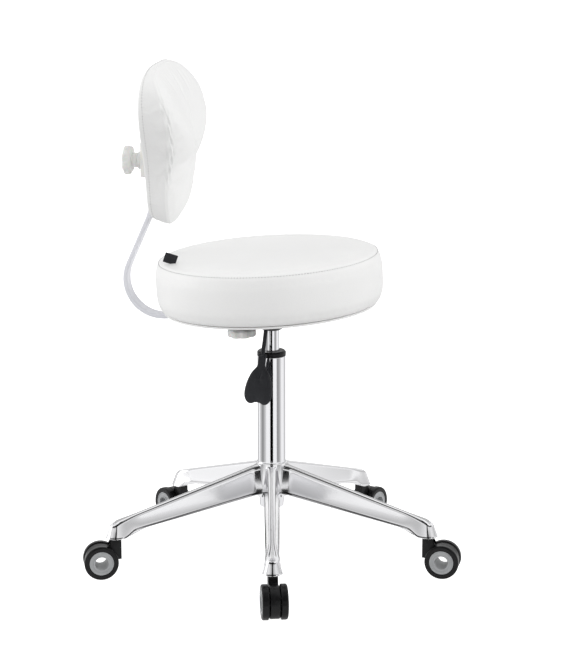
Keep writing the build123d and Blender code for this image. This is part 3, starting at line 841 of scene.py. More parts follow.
# Castors, in millimetres. X is the trail, Y the axle, and the axle is above the origin.
WHEEL_R = 30.0
WHEEL_NEAR = 8.8
WHEEL_FAR = 22.0
BODY_HALF = 8.25
SLEEVE_R = 13.0


def axle_place(place, side=1):
    """Turns a lathe's Z onto a castor's axle, to the left or to the right."""
    return place @ placement((1, 0, 0), (0, 0, -side), (0, side, 0), (0, 0, WHEEL_R * MM))


def castor_body_outline(count=96):
    """The stem housing and disc seen from the side: an arc round the axle that runs into a
    straight back and an upright housing, as one closed line with eased corners."""
    arc = np.radians(np.linspace(-205, 118, 60))
    disc = np.stack([28.3 * np.cos(arc), 28.3 * np.sin(arc)], -1)
    top = 40.0
    housing = [
        (-18.0, 29.5), (-18.0, top - 1.2), (-19.2, top), (-34.6, top), (-36.0, top - 1.4), (-36.0, 2.0)
    ]
    line = np.vstack([disc, soften(housing, 3.0, 4, closed=False)])
    return evenly(line, count, closed=True) * MM


class STOOL_OT_castors(StoolOperator):
    """Builds the five castors: side plates, hollow axle sleeves, rims and treads"""

    bl_idname = "stool.castors"
    bl_label = "Castors"

    def build(self):
        outline = castor_body_outline()
        turn = np.arctan2(outline[:, 1], outline[:, 0])
        hole = np.stack([np.cos(turn), np.sin(turn)], -1) * (SLEEVE_R + 0.05) * MM
        web = slab(outline, -BODY_HALF * MM, BODY_HALF * MM, 1.4 * MM, hole)
        bore, lip = SLEEVE_R - 1.3, SLEEVE_R + 1.2
        end = WHEEL_FAR + 1.1
        sleeve = soften(
            [(bore, -end), (lip, -end), (lip, -end + 0.9), (SLEEVE_R, -end + 0.9), (SLEEVE_R, end - 0.9),
             (lip, end - 0.9), (lip, end), (bore, end)],
            [0.5, 0.4, 0.1, 0.1, 0.1, 0.1, 0.4, 0.5], 3,
        )
        rim = soften(
            [(SLEEVE_R + 0.05, WHEEL_NEAR), (21.0, WHEEL_NEAR), (21.0, WHEEL_FAR - 0.5),
             (19.6, WHEEL_FAR - 0.1), (18.9, WHEEL_FAR - 0.9), (16.6, WHEEL_FAR - 0.9),
             (15.8, WHEEL_FAR - 0.1), (SLEEVE_R + 0.05, WHEEL_FAR - 0.1)],
            [0.4, 0.2, 0.3, 0.5, 0.5, 0.5, 0.5, 0.4], 3,
        )
        tread = soften(
            [(21.0, WHEEL_NEAR + 0.2), (22.6, WHEEL_NEAR), (26.0, WHEEL_NEAR + 0.2),
             (WHEEL_R, WHEEL_NEAR + 2.2), (WHEEL_R, WHEEL_FAR - 2.0), (28.0, WHEEL_FAR),
             (23.0, WHEEL_FAR), (21.0, WHEEL_FAR - 0.5)],
            [0.2, 0.6, 1.2, 0.8, 1.3, 1.3, 0.8, 0.3], 5,
        )
        parts = {
            "sleeve": lathe(sleeve * MM, 72, closed=True),
            "rim": lathe(rim * MM, 96, closed=True),
            "tread": lathe(tread * MM, 96, closed=True),
        }
        upright = placement((1, 0, 0), (0, 0, 1), (0, -1, 0), (0, 0, WHEEL_R * MM))
        for number in CASTORS:
            name = f"castor_{number}"
            place = castor_place(number)
            skins = [moved(web, place @ upright)]
            piece(
                f"{name}_housing", skins, name, finish("black_plastic"),
                [f"{name}_body"], CRISP,
            )
            skins = [moved(parts["sleeve"], axle_place(place))]
            piece(f"{name}_axle_tube", skins, name, finish("rim"), [f"{name}_sleeve"], CRISP)
            for side, word in ((1, "left"), (-1, "right")):
                body = f"{name}_wheel_{word}"
                spot = axle_place(place, side)
                piece(
                    f"{name}_wheel_{word}_rim", [moved(parts["rim"], spot)], body,
                    finish("rim"), [f"{name}_rim_{word}"], CRISP,
                )
                piece(
                    f"{name}_wheel_{word}_tread", [moved(parts["tread"], spot)], body,
                    finish("tread"), [f"{name}_tyre_{word}"], CRISP,
                )


class STOOL_OT_gas_lift(StoolOperator):
    """Builds the column: outer tube, guide bush with its collar, gas cylinder and cone cup"""

    bl_idname = "stool.gas_lift"
    bl_label = "Gas lift"

    def build(self):
        tube = soften(
            [(19.2, 101), (21, 101), (25, 183.4), (25, 374.2), (23.2, 374.2), (23.2, 190)],
            [0.5, 0.8, 6, 0.6, 0.5, 2], 4,
        )
        piece(
            "column_tube", [lathe(tube * MM, 160, closed=True)], "base", finish("chrome"),
            ["outer_tube"], CRISP,
        )
        bush = soften(
            [(14.15, 300), (23.1, 300), (23.1, 374.25), (25.3, 374.25), (25.3, 376.4), (24.8, 376.9),
             (24.8, 377.5), (25.3, 378), (25.3, 381.2), (23.0, 383.4), (14.15, 383.4)],
            [0.3, 0.5, 0.1, 0.4, 0.3, 0.2, 0.2, 0.3, 1.2, 1.2, 0.5], 4,
        )
        piece(
            "column_collar", [lathe(bush * MM, 128, closed=True)], "base",
            finish("black_plastic"), ["guide_bush"], CRISP,
        )
        cylinder = soften(
            [(0, 165), (13, 165), (14, 166.5), (14, 425), (13.3, 447.5), (0, 447.5)],
            [0, 1, 1, 3, 0.8, 0], 4, closed=False,
        )
        piece(
            "gas_column", [lathe(cylinder * MM, 128)], "seat", finish("chrome"),
            ["gas_cylinder"], CRISP,
        )
        cup = soften(
            [(14.3, 420.7), (16.6, 420.7), (22.3, 424.8), (22.6, 427.6), (22.2, 429.7), (14.3, 429.7)],
            [0.4, 1.2, 1.2, 0.8, 0.4, 0.4], 4,
        )
        piece(
            "cone_cup", [lathe(cup * MM, 128, closed=True)], "seat",
            finish("black_steel"), (), CRISP,
        )


# Seat, in millimetres in its own tilted frame
SEAT_HEM = 4.4
SEAM_HEIGHT = 90.2
SEAT_TOP = 94.9
SLOW_WAVE = 0.0012
QUICK_WAVE = 0.0008
SEAT_SWELL = 0.25
BACKREST_SWELL = 0.7
PADDING_PRESSURE = 4.0
SEAT_THREAD = 0.62
BACKREST_THREAD = 0.5


def seat_rows():
    """(radius, height, looseness) of the cushion's profile: flat underside, full side, a shallow
    groove under the stitches, a tight folded edge and the crowned top. Looseness is how far the
    row may swell, from 0 at a seam to 1."""
    edge = sizes().seat_seam_radius / MM
    flat_rows = 3
    keys = [
        (150, SEAT_HEM, 0), (176, SEAT_HEM, 0), (184.0, SEAT_HEM + 0.5, 0), (187.0, 6.0, 0.05),
        (191.2, 10.5, 0.3), (194.2, 20, 0.8), (195.4, 34, 1), (195.8, 50, 1), (195.8, 63, 1),
        (195.4, 74, 0.8), (194.7, 80.5, 0.4), (193.2, 85.6, 0.15), (edge + 1.7, 88.8, 0.05),
        (edge + 0.4, 90.2, 0), (edge - 0.6, 91.4, 0.05), (edge - 2.6, 92.7, 0.1),
        (edge - 7.5, 93.9, 0.2), (171, 94.3, 0.5), (155, 94.4, 0.9), (128, 94.5, 1), (90, 94.6, 1),
        (45, 94.8, 1), (12, 94.9, 1),
    ]
    dense = smooth_line(np.array(keys[flat_rows:]), 74)
    return np.vstack([np.array(keys[:flat_rows]), dense])


def swell(obj, looseness, limit, pressure, frames=20):
    """Lets padding fill out: the mesh is run as cloth under inner pressure without gravity, held
    at its seams by a pin weight of 1 minus looseness. Each point then moves along its own cloth
    displacement, eased so that it never passes the limit."""
    before = np.empty(len(obj.data.vertices) * 3)
    obj.data.vertices.foreach_get("co", before)
    hold = obj.vertex_groups.new(name="seam_hold")
    levels = np.round(1 - looseness, 2)
    for level in np.unique(levels):
        hold.add(np.flatnonzero(levels == level).tolist(), float(level), "REPLACE")
    cloth = obj.modifiers.new("padding", "CLOTH")
    settings = cloth.settings
    settings.quality = 8
    settings.mass = 0.35
    settings.tension_stiffness = 12
    settings.compression_stiffness = 12
    settings.shear_stiffness = 6
    settings.bending_stiffness = 0.6
    settings.use_pressure = True
    settings.uniform_pressure_force = pressure
    settings.shrink_min = -0.012
    settings.vertex_group_mass = hold.name
    settings.effector_weights.gravity = 0
    cloth.collision_settings.use_collision = False
    cloth.point_cache.frame_start = 1
    cloth.point_cache.frame_end = frames
    scene = bpy.context.scene
    for number in range(1, frames + 1):
        scene.frame_set(number)
    shaped = obj.evaluated_get(bpy.context.evaluated_depsgraph_get()).to_mesh()
    after = np.empty_like(before)
    shaped.vertices.foreach_get("co", after)
    obj.modifiers.remove(cloth)
    scene.frame_set(1)
    move = (after - before).reshape(-1, 3)
    length = np.linalg.norm(move, axis=1, keepdims=True)
    eased = move / np.maximum(length, 1e-9) * limit * np.tanh(length / limit)
    obj.data.vertices.foreach_set("co", (before.reshape(-1, 3) + eased).ravel())
    obj.data.update()


def grid_points(obj, shape):
    """The mesh's first points, in the rows and columns of the grid that they were made from."""
    points = np.empty(len(obj.data.vertices) * 3)
    obj.data.vertices.foreach_get("co", points)
    return points[: math.prod(shape)].reshape(shape)


def refine(obj, levels=1):
    """Adds a subdivision with the same level in the view and the render."""
    fine = obj.modifiers.new("smooth", "SUBSURF")
    fine.levels = levels
    fine.render_levels = levels


def stitches(path, outwards, length, radius, share=0.66):
    """Stitches along a closed line of points: each is a short six-sided bead that is thickest in
    its middle and dips into the cover at both ends."""
    ahead = np.roll(path, -1, 0) - path
    ahead /= np.linalg.norm(ahead, axis=1, keepdims=True)
    across = np.cross(outwards, ahead)
    along = np.linspace(-0.5, 0.5, 5) * length * share
    thick = radius * np.array([0.35, 0.85, 1.0, 0.85, 0.35])
    lift = radius * np.array([-0.9, 0.2, 0.45, 0.2, -0.9])
    turn = np.linspace(0, 2 * math.pi, 6, endpoint=False)
    height = lift[:, None] + thick[:, None] * np.sin(turn)
    width = thick[:, None] * np.cos(turn)
    ring = (
        path[:, None, None]
        + ahead[:, None, None] * along[None, :, None, None]
        + outwards[:, None, None] * height[None, :, :, None]
        + across[:, None, None] * width[None, :, :, None]
    )
    count = len(path)
    i, j = np.meshgrid(np.arange(4), np.arange(6), indexing="ij")
    i, j = i.ravel(), j.ravel()
    after = (j + 1) % 6
    quads = np.stack([i * 6 + j, i * 6 + after, (i + 1) * 6 + after, (i + 1) * 6 + j], -1)
    ends = np.array([[0, 1, 2, 3], [0, 3, 4, 5]])
    quads = np.vstack([quads, ends[:, ::-1], (ends + 24)])
    faces = (quads[None] + (np.arange(count) * 30)[:, None, None]).reshape(-1, 4)
    return outward(ring.reshape(-1, 3), faces, np.zeros((0, 3), int))


def surface_frame(grid, row):
    """Points of one row of a closed grid with the surface's outward direction at each of them."""
    ahead = np.roll(grid[row], -1, 0) - np.roll(grid[row], 1, 0)
    up = grid[row + 1] - grid[row - 1]
    normal = np.cross(ahead, up)
    normal /= np.linalg.norm(normal, axis=1, keepdims=True)
    return grid[row], normal


def resample_ring(points, normals, pitch):
    """The same closed line with its directions, at even steps that divide it near the pitch."""
    line = np.vstack([points, points[:1]])
    data = np.hstack([line, np.vstack([normals, normals[:1]])])
    length = np.concatenate([[0], np.cumsum(np.linalg.norm(np.diff(line, axis=0), axis=1))])
    at = np.linspace(0, length[-1], int(round(length[-1] / pitch)), endpoint=False)
    out = np.stack([np.interp(at, length, data[:, k]) for k in range(6)], -1)
    direction = out[:, 3:] / np.linalg.norm(out[:, 3:], axis=1, keepdims=True)
    return out[:, :3], direction


TAG_LEAN = math.radians(18)
TAG_WIDTH = 22.0
TAG_HEIGHT = 17.5
TAG_CENTRE = np.array((-74.0, 162.0, 555.0))
# (share of the outline, distance from the middle of the cloth) over one face, round the edge
# and over the other
TAG_RINGS = ((0.5, 0.4), (0.9, 0.4), (0.985, 0.38), (1.0, 0.2), (1.0, -0.2), (0.985, -0.38), (0.5, -0.4))


class STOOL_OT_seat(StoolOperator):
    """Builds the seat: swollen cushion, stitched edge, hem with its pan, and the blank tag"""

    bl_idname = "stool.seat"
    bl_label = "Seat"

    def build(self):
        rows = seat_rows()
        columns = 192
        turn = np.linspace(0, 2 * math.pi, columns, endpoint=False)
        radius, height = rows[:, :1] * MM, rows[:, 1:2] * MM
        # Hand-pulled covers are never quite round: two small waves round the rim.
        wave = 1 + SLOW_WAVE * np.sin(3 * turn + 0.7) + QUICK_WAVE * np.sin(7 * turn)
        level = np.broadcast_to(height, (len(rows), columns))
        grid = np.stack([radius * wave * np.cos(turn), radius * wave * np.sin(turn), level], -1)
        looseness = np.append(np.repeat(rows[:, 2], columns), [0, 1])
        body = skin(grid, poles=((0, 0, SEAT_HEM * MM), (0, 0, SEAT_TOP * MM)))
        cushion = piece(
            "seat_cushion", [moved(body, SEAT_CENTRE)], "seat", finish("leather"),
            ["seat_top", "seat_band", "seat_foam"],
        )
        swell(cushion, np.clip(looseness, 0, 1), sizes().puff * SEAT_SWELL, PADDING_PRESSURE)
        surface = grid_points(cushion, grid.shape)
        refine(cushion)

        groove = int(np.argmin(np.abs(rows[:, 1] - SEAM_HEIGHT)))
        path, out = surface_frame(surface, groove)
        path, out = resample_ring(path, out, sizes().stitch_pitch)
        thread = stitches(path + out * 0.25 * MM, out, sizes().stitch_pitch, SEAT_THREAD * MM)
        piece("seat_stitching", [thread], "seat", finish("thread"))

        pan = soften(
            [(46, 0), (180.4, 0.2), (184.4, 0.5), (185.8, 2.4), (185.0, 4.2), (182.0, 4.4),
             (180.6, 3.0), (46, 3)],
            [0.4, 0.8, 1.2, 1.4, 1.2, 0.6, 0.4, 0.4], 4,
        )
        piece(
            "seat_hem", [moved(lathe(pan * MM, 192, closed=True), SEAT_CENTRE)], "seat",
            finish("leather"), ["seat_base_pan"], CRISP,
        )
        self.tag()

    def tag(self):
        """A blank woven tag that stands off the seat's rim: a slightly curled sheet, thickened
        along its own normal and closed round its edges."""
        wide = np.array((0.18, -math.cos(TAG_LEAN), -math.sin(TAG_LEAN)))
        tall = np.array((0.1, -math.sin(TAG_LEAN), math.cos(TAG_LEAN)))
        front = np.cross(tall, wide)
        front /= np.linalg.norm(front)
        half = rounded_box_section(TAG_WIDTH, TAG_HEIGHT, 1.2, 5)
        rings = []
        for share, out in TAG_RINGS:
            line = half * share
            curl = 0.012 * line[:, 0] ** 2 + 0.02 * np.maximum(line[:, 1], 0) ** 2
            flat = TAG_CENTRE + line[:, :1] * wide + line[:, 1:] * tall
            rings.append(flat - front * (out + curl)[:, None])
        grid = np.array(rings) * MM
        closed = skin(grid, poles=(grid[0].mean(0), grid[-1].mean(0)))
        piece("seat_tag", [closed], "seat", finish("tag"), (), CRISP)


# Backrest, in millimetres: X across, Z up, the sitter's side towards -Y
REAR_Y = 200.0
REAR_RISE = 10.0
PAD_MIDDLE = 742.0
# Shares of the outline at which the rows of the front face lie, from the seam to the middle
FRONT_SHARES = (
    0.966, 0.958, 0.946, 0.93, 0.905, 0.87, 0.83, 0.77, 0.7, 0.62, 0.53, 0.44, 0.35, 0.26, 0.17, 0.08
)


def backrest_outline(columns):
    """The backrest seen from the front: broad above, waisted, narrow below, mirrored in X."""
    right = [
        (0, 601), (32, 604), (62, 619), (77, 645), (84, 670), (92, 700), (105, 733), (120, 762),
        (132, 790), (138, 815), (136, 836), (127, 853), (109, 868), (80, 878), (45, 883), (0, 884),
    ]
    half = smooth_line(np.array(right, float), columns // 2 + 1)
    left = half[-2:0:-1] * (-1, 1)
    return np.vstack([half, left])


def seam_depth(z):
    """How far back the front seam runs at each height."""
    points = np.array(
        [(598, 172), (625, 168), (656, 167), (693, 164), (729, 154.5), (766, 151), (802, 152),
         (827, 157), (850, 166), (868, 177), (886, 190)]
    )
    line = smooth_line(points.astype(float), 120)
    return np.interp(z, line[:, 0], line[:, 1])


def front_depth(z):
    """How far forward the middle of the front face stands at each height."""
    points = np.array(
        [(598, 162), (612, 152), (630, 147.5), (655, 146), (680, 144), (700, 141),
         (725, 137), (760, 130.5), (800, 129), (840, 136), (866, 148), (880, 163), (888, 178)]
    )
    line = smooth_line(points.astype(float), 120)
    return np.interp(z, line[:, 0], line[:, 1])


def backrest_grid(columns):
    """Rows from the middle of the rear face out to its edge, along the side to the front seam and
    in over the front face. A point is the pad's middle plus a share of the outline, and its depth
    goes from the rear plane, by the seam's depth, to a pillow that is fullest in the middle."""
    outline = backrest_outline(columns)
    across, height = outline[:, 0], outline[:, 1]
    seam = seam_depth(height)
    grid, loose, kind = [], [], []

    def add(share, depth, looseness, name, lift=0.0):
        x = across * share
        rise = lift * REAR_RISE * (1 - step(height, 601, 655))
        z = PAD_MIDDLE + (height - PAD_MIDDLE) * share + rise
        grid.append(np.stack([x, depth(z) if callable(depth) else depth, z], -1))
        loose.append(looseness)
        kind.append(name)

    flat = np.full(columns, REAR_Y)
    for share, out in ((0.15, 0), (0.45, 0), (0.7, 0.6), (0.84, 1.8), (0.93, 2.4), (0.97, 1.8)):
        add(share, flat - 0.1 + out, 0, "rear", 1.0)
    add(0.985, flat + 0.6, 0, "rear", 1.0)
    add(0.992, flat - 1.6, 0, "rear_seam", 1.0)
    side = np.array([0.05, 0.12, 0.22, 0.36, 0.5, 0.64, 0.78, 0.88, 0.94])
    bulge = np.sin(math.pi * side) ** 0.8
    gap = REAR_Y - 1.6 - seam
    for at, out in zip(side, bulge):
        fullness = np.clip(gap / 40, 0.15, 1)
        add(0.992 - 0.012 * at + 0.010 * out * fullness, REAR_Y - 1.6 - gap * at, 0.75 * out, "side", 1 - at)
    add(0.968, seam + 0.2, 0, "front_seam")
    for share in FRONT_SHARES:
        fullness = (1 - min(share / 0.972, 1) ** 4.0) ** 0.8

        def depth(z, share=share, fullness=fullness):
            here = seam_depth(z)
            return seam + (front_depth(z) - here) * fullness + (here - seam) * (1 - share)

        free = np.clip((0.97 - share) / 0.1, 0.08, 1)
        add(share, depth, free, "front")
    return np.array(grid), np.array(loose), kind


def gathers(grid, kind, depth):
    """Puckers where the cover is drawn round the seam: ridges that fan out from the seam at a
    slant, deepest at mid height and gone within a few centimetres of the seam."""
    row = kind.index("front_seam")
    ring = grid[row]
    run = np.concatenate([[0], np.cumsum(np.linalg.norm(np.diff(ring, axis=0), axis=1))])
    height = grid[:, :, 2]
    window = step(height, 668, 715) * (1 - step(height, 820, 850))
    away = np.linalg.norm(grid - ring[None], axis=2)
    behind = (np.arange(len(grid)) < row)[:, None]
    sign = np.where(behind, -1.0, 1.0)
    fade = np.exp(-((away / np.where(behind, 13.0, 15.0)) ** 2))
    mirror = np.where(grid[row][:, 0] > 0, run, run[-1] - run)[None]
    drift = 6 * np.sin(mirror / 23.0) + 3 * np.sin(mirror / 9.1 + 1.0)
    phase = 2 * math.pi * (away * sign / 6.2 + (mirror + drift) / 34.0)
    other = 2 * math.pi * (away * sign / 9.5 - (mirror - drift) / 47.0)
    ridge = 0.65 * np.sin(phase) + 0.45 * np.sin(other + 0.8)
    ahead = np.roll(grid, -1, 1) - np.roll(grid, 1, 1)
    up = np.gradient(grid, axis=0)
    normal = np.cross(ahead, up)
    normal /= np.maximum(np.linalg.norm(normal, axis=2, keepdims=True), 1e-9)
    keep = np.where(away < 1.0, 0.0, 1.0)
    return grid + normal * (ridge * window * fade * keep * depth)[:, :, None]


class STOOL_OT_backrest(StoolOperator):
    """Builds the backrest cushion with its gathered seam and edge stitching"""

    bl_idname = "stool.backrest"
    bl_label = "Backrest"

    def build(self):
        columns = 256
        grid, loose, kind = backrest_grid(columns)
        grid = gathers(grid, kind, sizes().gather_depth / MM)
        poles = ((0, REAR_Y - 0.1, PAD_MIDDLE), (0, front_depth(PAD_MIDDLE) + 0.5, PAD_MIDDLE))
        body = skin(grid * MM, poles=np.array(poles) * MM)
        cushion = piece(
            "backrest_cushion", [body], "backrest", finish("leather"),
            ["back_cover_front", "back_foam", "back_cover_rear"],
        )
        looseness = np.append(np.repeat(loose, columns), [0, 1])
        swell(cushion, looseness, sizes().puff * BACKREST_SWELL, PADDING_PRESSURE)
        surface = grid_points(cushion, grid.shape)
        refine(cushion)
        path, out = surface_frame(surface, kind.index("rear_seam") + 2)
        path, out = resample_ring(path, -out if out[0, 2] > 0 else out, sizes().stitch_pitch)
        thread = stitches(path + out * 0.15 * MM, out, sizes().stitch_pitch, BACKREST_THREAD * MM)
        piece("backrest_stitching", [thread], "backrest", finish("thread"))


# Back bar, in millimetres in the YZ plane
BAR_WIDTH = 28.0
BAR_THICKNESS = 8.0
BAR_LEAN = math.radians(23.8)
BAR_EDGE = math.radians(60)
BAR_Y = 209.0
BAR_KNEE_Z = 627.6
BAR_TOP_Z = 788.0
BAR_START = 34.0
BAR_UNDER_PAD = 11.9
LOW_BEND = 65.0
HIGH_BEND = 100.0
CLAMP_FACE_Y = 227.0


def arc_corner(before, corner, after, radius, steps=14):
    """Points of the arc that rounds a corner of a line, in the YZ plane."""
    into = (corner - before) / np.linalg.norm(corner - before)
    onward = (after - corner) / np.linalg.norm(after - corner)
    turn = math.acos(float(np.clip(into @ onward, -1, 1)))
    cut = radius * math.tan(turn / 2)
    start = corner - into * cut
    inward = np.array([-into[1], into[0]])
    inward *= np.sign(inward @ onward)
    angle = np.linspace(0, turn, steps)[:, None]
    return start + into * radius * np.sin(angle) + inward * radius * (1 - np.cos(angle))


def bar_line():
    """The bar's centre line: level run under the seat, a bend, the leaning run, an easy bend and
    the upright run behind the backrest."""
    tilt = SEAT_TILT
    along = BAR_START * np.array([math.cos(tilt), -math.sin(tilt)])
    below = BAR_UNDER_PAD * np.array([-math.sin(tilt), -math.cos(tilt)])
    start = np.array([0, SEAT_UNDERSIDE / MM]) + along + below
    slope = -math.tan(tilt)
    lean = -1 / math.tan(BAR_LEAN)
    knee = np.array([BAR_Y, BAR_KNEE_Z])
    y = (knee[1] - start[1] - lean * knee[0] + slope * start[0]) / (slope - lean)
    corner = np.array([y, start[1] + slope * (y - start[0])])
    top = np.array([BAR_Y, BAR_TOP_Z])
    line = np.vstack(
        [
            start + (corner - start) * np.linspace(0, 0.3, 4)[:, None],
            arc_corner(start, corner, knee, LOW_BEND, 26),
            arc_corner(corner, knee, top, HIGH_BEND, 14),
            knee + (top - knee) * np.linspace(0.35, 1, 8)[:, None],
        ]
    )
    return np.column_stack([np.zeros(len(line)), line])


def bracket_outline(count=120):
    """Plan of the backrest bracket: a wide flange against the pad and a narrower clamp body."""
    corners = [
        (-30, 200.2), (30, 200.2), (30, 204.7), (20.5, 205.2), (20, 207), (20, CLAMP_FACE_Y),
        (-20, CLAMP_FACE_Y), (-20, 207), (-20.5, 205.2), (-30, 204.7),
    ]
    line = soften(corners, [0.8, 0.8, 1.6, 1.2, 1.0, 3.5, 3.5, 1.0, 1.2, 1.6], 5)
    return evenly(line, count, closed=True)


class STOOL_OT_back_bar(StoolOperator):
    """Builds the bent flat bar and the bracket that clamps the backrest to it"""

    bl_idname = "stool.back_bar"
    bl_label = "Back bar"

    def build(self):
        section = rounded_box_section(BAR_WIDTH, BAR_THICKNESS, 2.6, 6) * MM
        bar = rounded_sweep(bar_line() * MM, section, 1.0 * MM)
        piece("flat_bar", [bar], "bar", finish("bar"), ["back_bar"], BAR_EDGE)

        outline = bracket_outline()
        centre = np.array([0, BAR_Y])
        slot = rounded_box_section(BAR_WIDTH + 0.6, BAR_THICKNESS + 0.6, 0.6, 4) + centre
        start = np.argmin(np.abs(np.arctan2(*(outline - centre).T[::-1])))
        outline = np.roll(outline, -start, 0)
        slot = evenly(slot, len(outline), closed=True)
        turn = np.unwrap(np.arctan2(outline[:, 1] - BAR_Y, outline[:, 0]))
        slot_turn = np.arctan2(slot[:, 1] - BAR_Y, slot[:, 0])
        order = np.argsort(slot_turn)
        slot_turn, slot = slot_turn[order], slot[order]
        wrapped = (turn + math.pi) % (2 * math.pi) - math.pi
        wide_turn = np.concatenate([slot_turn - 2 * math.pi, slot_turn, slot_turn + 2 * math.pi])
        wide = np.vstack([slot, slot, slot])
        matched = np.stack([np.interp(wrapped, wide_turn, wide[:, k]) for k in range(2)], -1)
        low, high = lowest("height_bracket")[2], highest("height_bracket")[2]
        body = slab(outline * MM, low, high, 1.5 * MM, matched * MM)
        boss = soften([(4.1, -1), (15.5, -1), (15.5, 6.5), (4.1, 6.5)], [0.2, 0.2, 1.4, 0.5], 5)
        knob_height = joint_point("height_knob_turn")[2]
        spot = axes((0, CLAMP_FACE_Y * MM, knob_height), (1, 0, 0), (0, 1, 0))
        boss = moved(lathe(boss * MM, 72, closed=True), spot)
        piece(
            "backrest_bracket", [body, boss], "backrest", finish("knob"),
            ["height_bracket"], CRISP,
        )


# Clamp knobs, in millimetres along their own axis
KNOB_R = 25.8
KNOB_END = 25.5
STUD_R = 4.05
LOBE_DEPTH = 3.0


def knob_skins(lobes):
    """A lobed disc on a round hub: radius = a profile's radius, pulled in between the lobes by
    the share of the disc that the profile has reached. The hub is a lathe."""
    profile = soften(
        [(STUD_R, 10.2), (14, 10.2), (22.0, 10.9), (KNOB_R, 13.6), (KNOB_R, 22.4), (23.2, 25.2),
         (16, KNOB_END), (13.5, 24.4), (4.5, 24.4)],
        [0.3, 2, 2.2, 2.2, 2.2, 2, 1.5, 1.5, 0.3], 5,
    )
    turn = np.linspace(0, 2 * math.pi, 168, endpoint=False)
    dip = 0.5 - 0.5 * np.cos(lobes * turn)
    valley = np.maximum(0, dip) ** 1.6 * LOBE_DEPTH
    radius = profile[:, :1] - valley[None] * step(profile[:, :1], 13, 23)
    height = np.broadcast_to(profile[:, 1:], radius.shape)
    grid = np.stack([radius * np.cos(turn), radius * np.sin(turn), height], -1)
    disc = skin(grid * MM, wrap_rows=True)
    hub = soften(
        [(STUD_R, 0), (12.2, 0), (13.0, 2.5), (12.2, 11), (13.6, 14), (STUD_R, 14)],
        [0.3, 1.2, 3, 3, 0.8, 0.3], 4,
    )
    dimple = soften(
        [(0, 25.0), (5.2, 25.0), (6.4, 24.2), (6.4, 23.4), (0, 23.4)], [0, 0.8, 0.6, 0.2, 0], 4,
        closed=False,
    )
    return [disc, lathe(hub * MM, 96, closed=True), lathe(dimple * MM, 48)]


class STOOL_OT_knobs(StoolOperator):
    """Builds the two lobed clamp knobs"""

    bl_idname = "stool.knobs"
    bl_label = "Clamp knobs"

    def build(self):
        skins = knob_skins(sizes().knob_lobes)
        for name, joint in (("depth", "depth_knob_turn"), ("height", "height_knob_turn")):
            axis = joint_axis(joint)
            low, high = lowest(f"{name}_knob"), highest(f"{name}_knob")
            point = joint_point(joint)
            far = np.where(axis > 0, high, low)
            # The knob's far face is the end of its box along the axis, give or take the tilt.
            reach = float(np.abs((far - point) @ axis))
            tilt_slack = KNOB_R * MM * math.sqrt(max(0.0, 1 - float(np.max(np.abs(axis))) ** 2))
            origin = point + axis * (reach - tilt_slack - KNOB_END * MM)
            place = axes(origin, (1, 0, 0), axis)
            shown = [moved(one, place) for one in skins]
            piece(
                f"{name}_clamp_knob", shown, f"{name}_clamp", finish("knob"),
                [f"{name}_knob"], CRISP,
            )


# Lever, in millimetres
LEVER_ARM_CENTRE = (-10.5, 3.0, 453.5)
LEVER_ROD_R = 3.5
PADDLE_START = (-48.0, 6.5, 386.0)
PADDLE_END = (-64.0, 14.0, 301.0)
PADDLE_DRAWN_LENGTH = 90.0
PADDLE_CROWN = 4.5


def paddle_outline():
    """The lever's handle seen from its flat side: a narrow neck that widens into two lobes at its
    end, as one closed line mirrored in X."""
    right = [
        (7.0, 0), (6.8, 10), (7.0, 19), (9.4, 24.5), (14.2, 31), (18.2, 39), (21.8, 50), (24.0, 62),
        (24.4, 73), (22.2, 82), (16.8, 88.4), (10.5, 89.6), (5.0, 87.2), (0, 86.2),
    ]
    half = smooth_line(np.array(right, float), 56)
    left = half[-2::-1] * (-1, 1)
    line = np.vstack([half, left])
    neck = np.array([(-5, -1.6), (0, -2.0), (5, -1.6)])
    return evenly(np.vstack([line, neck]), 128, closed=True)


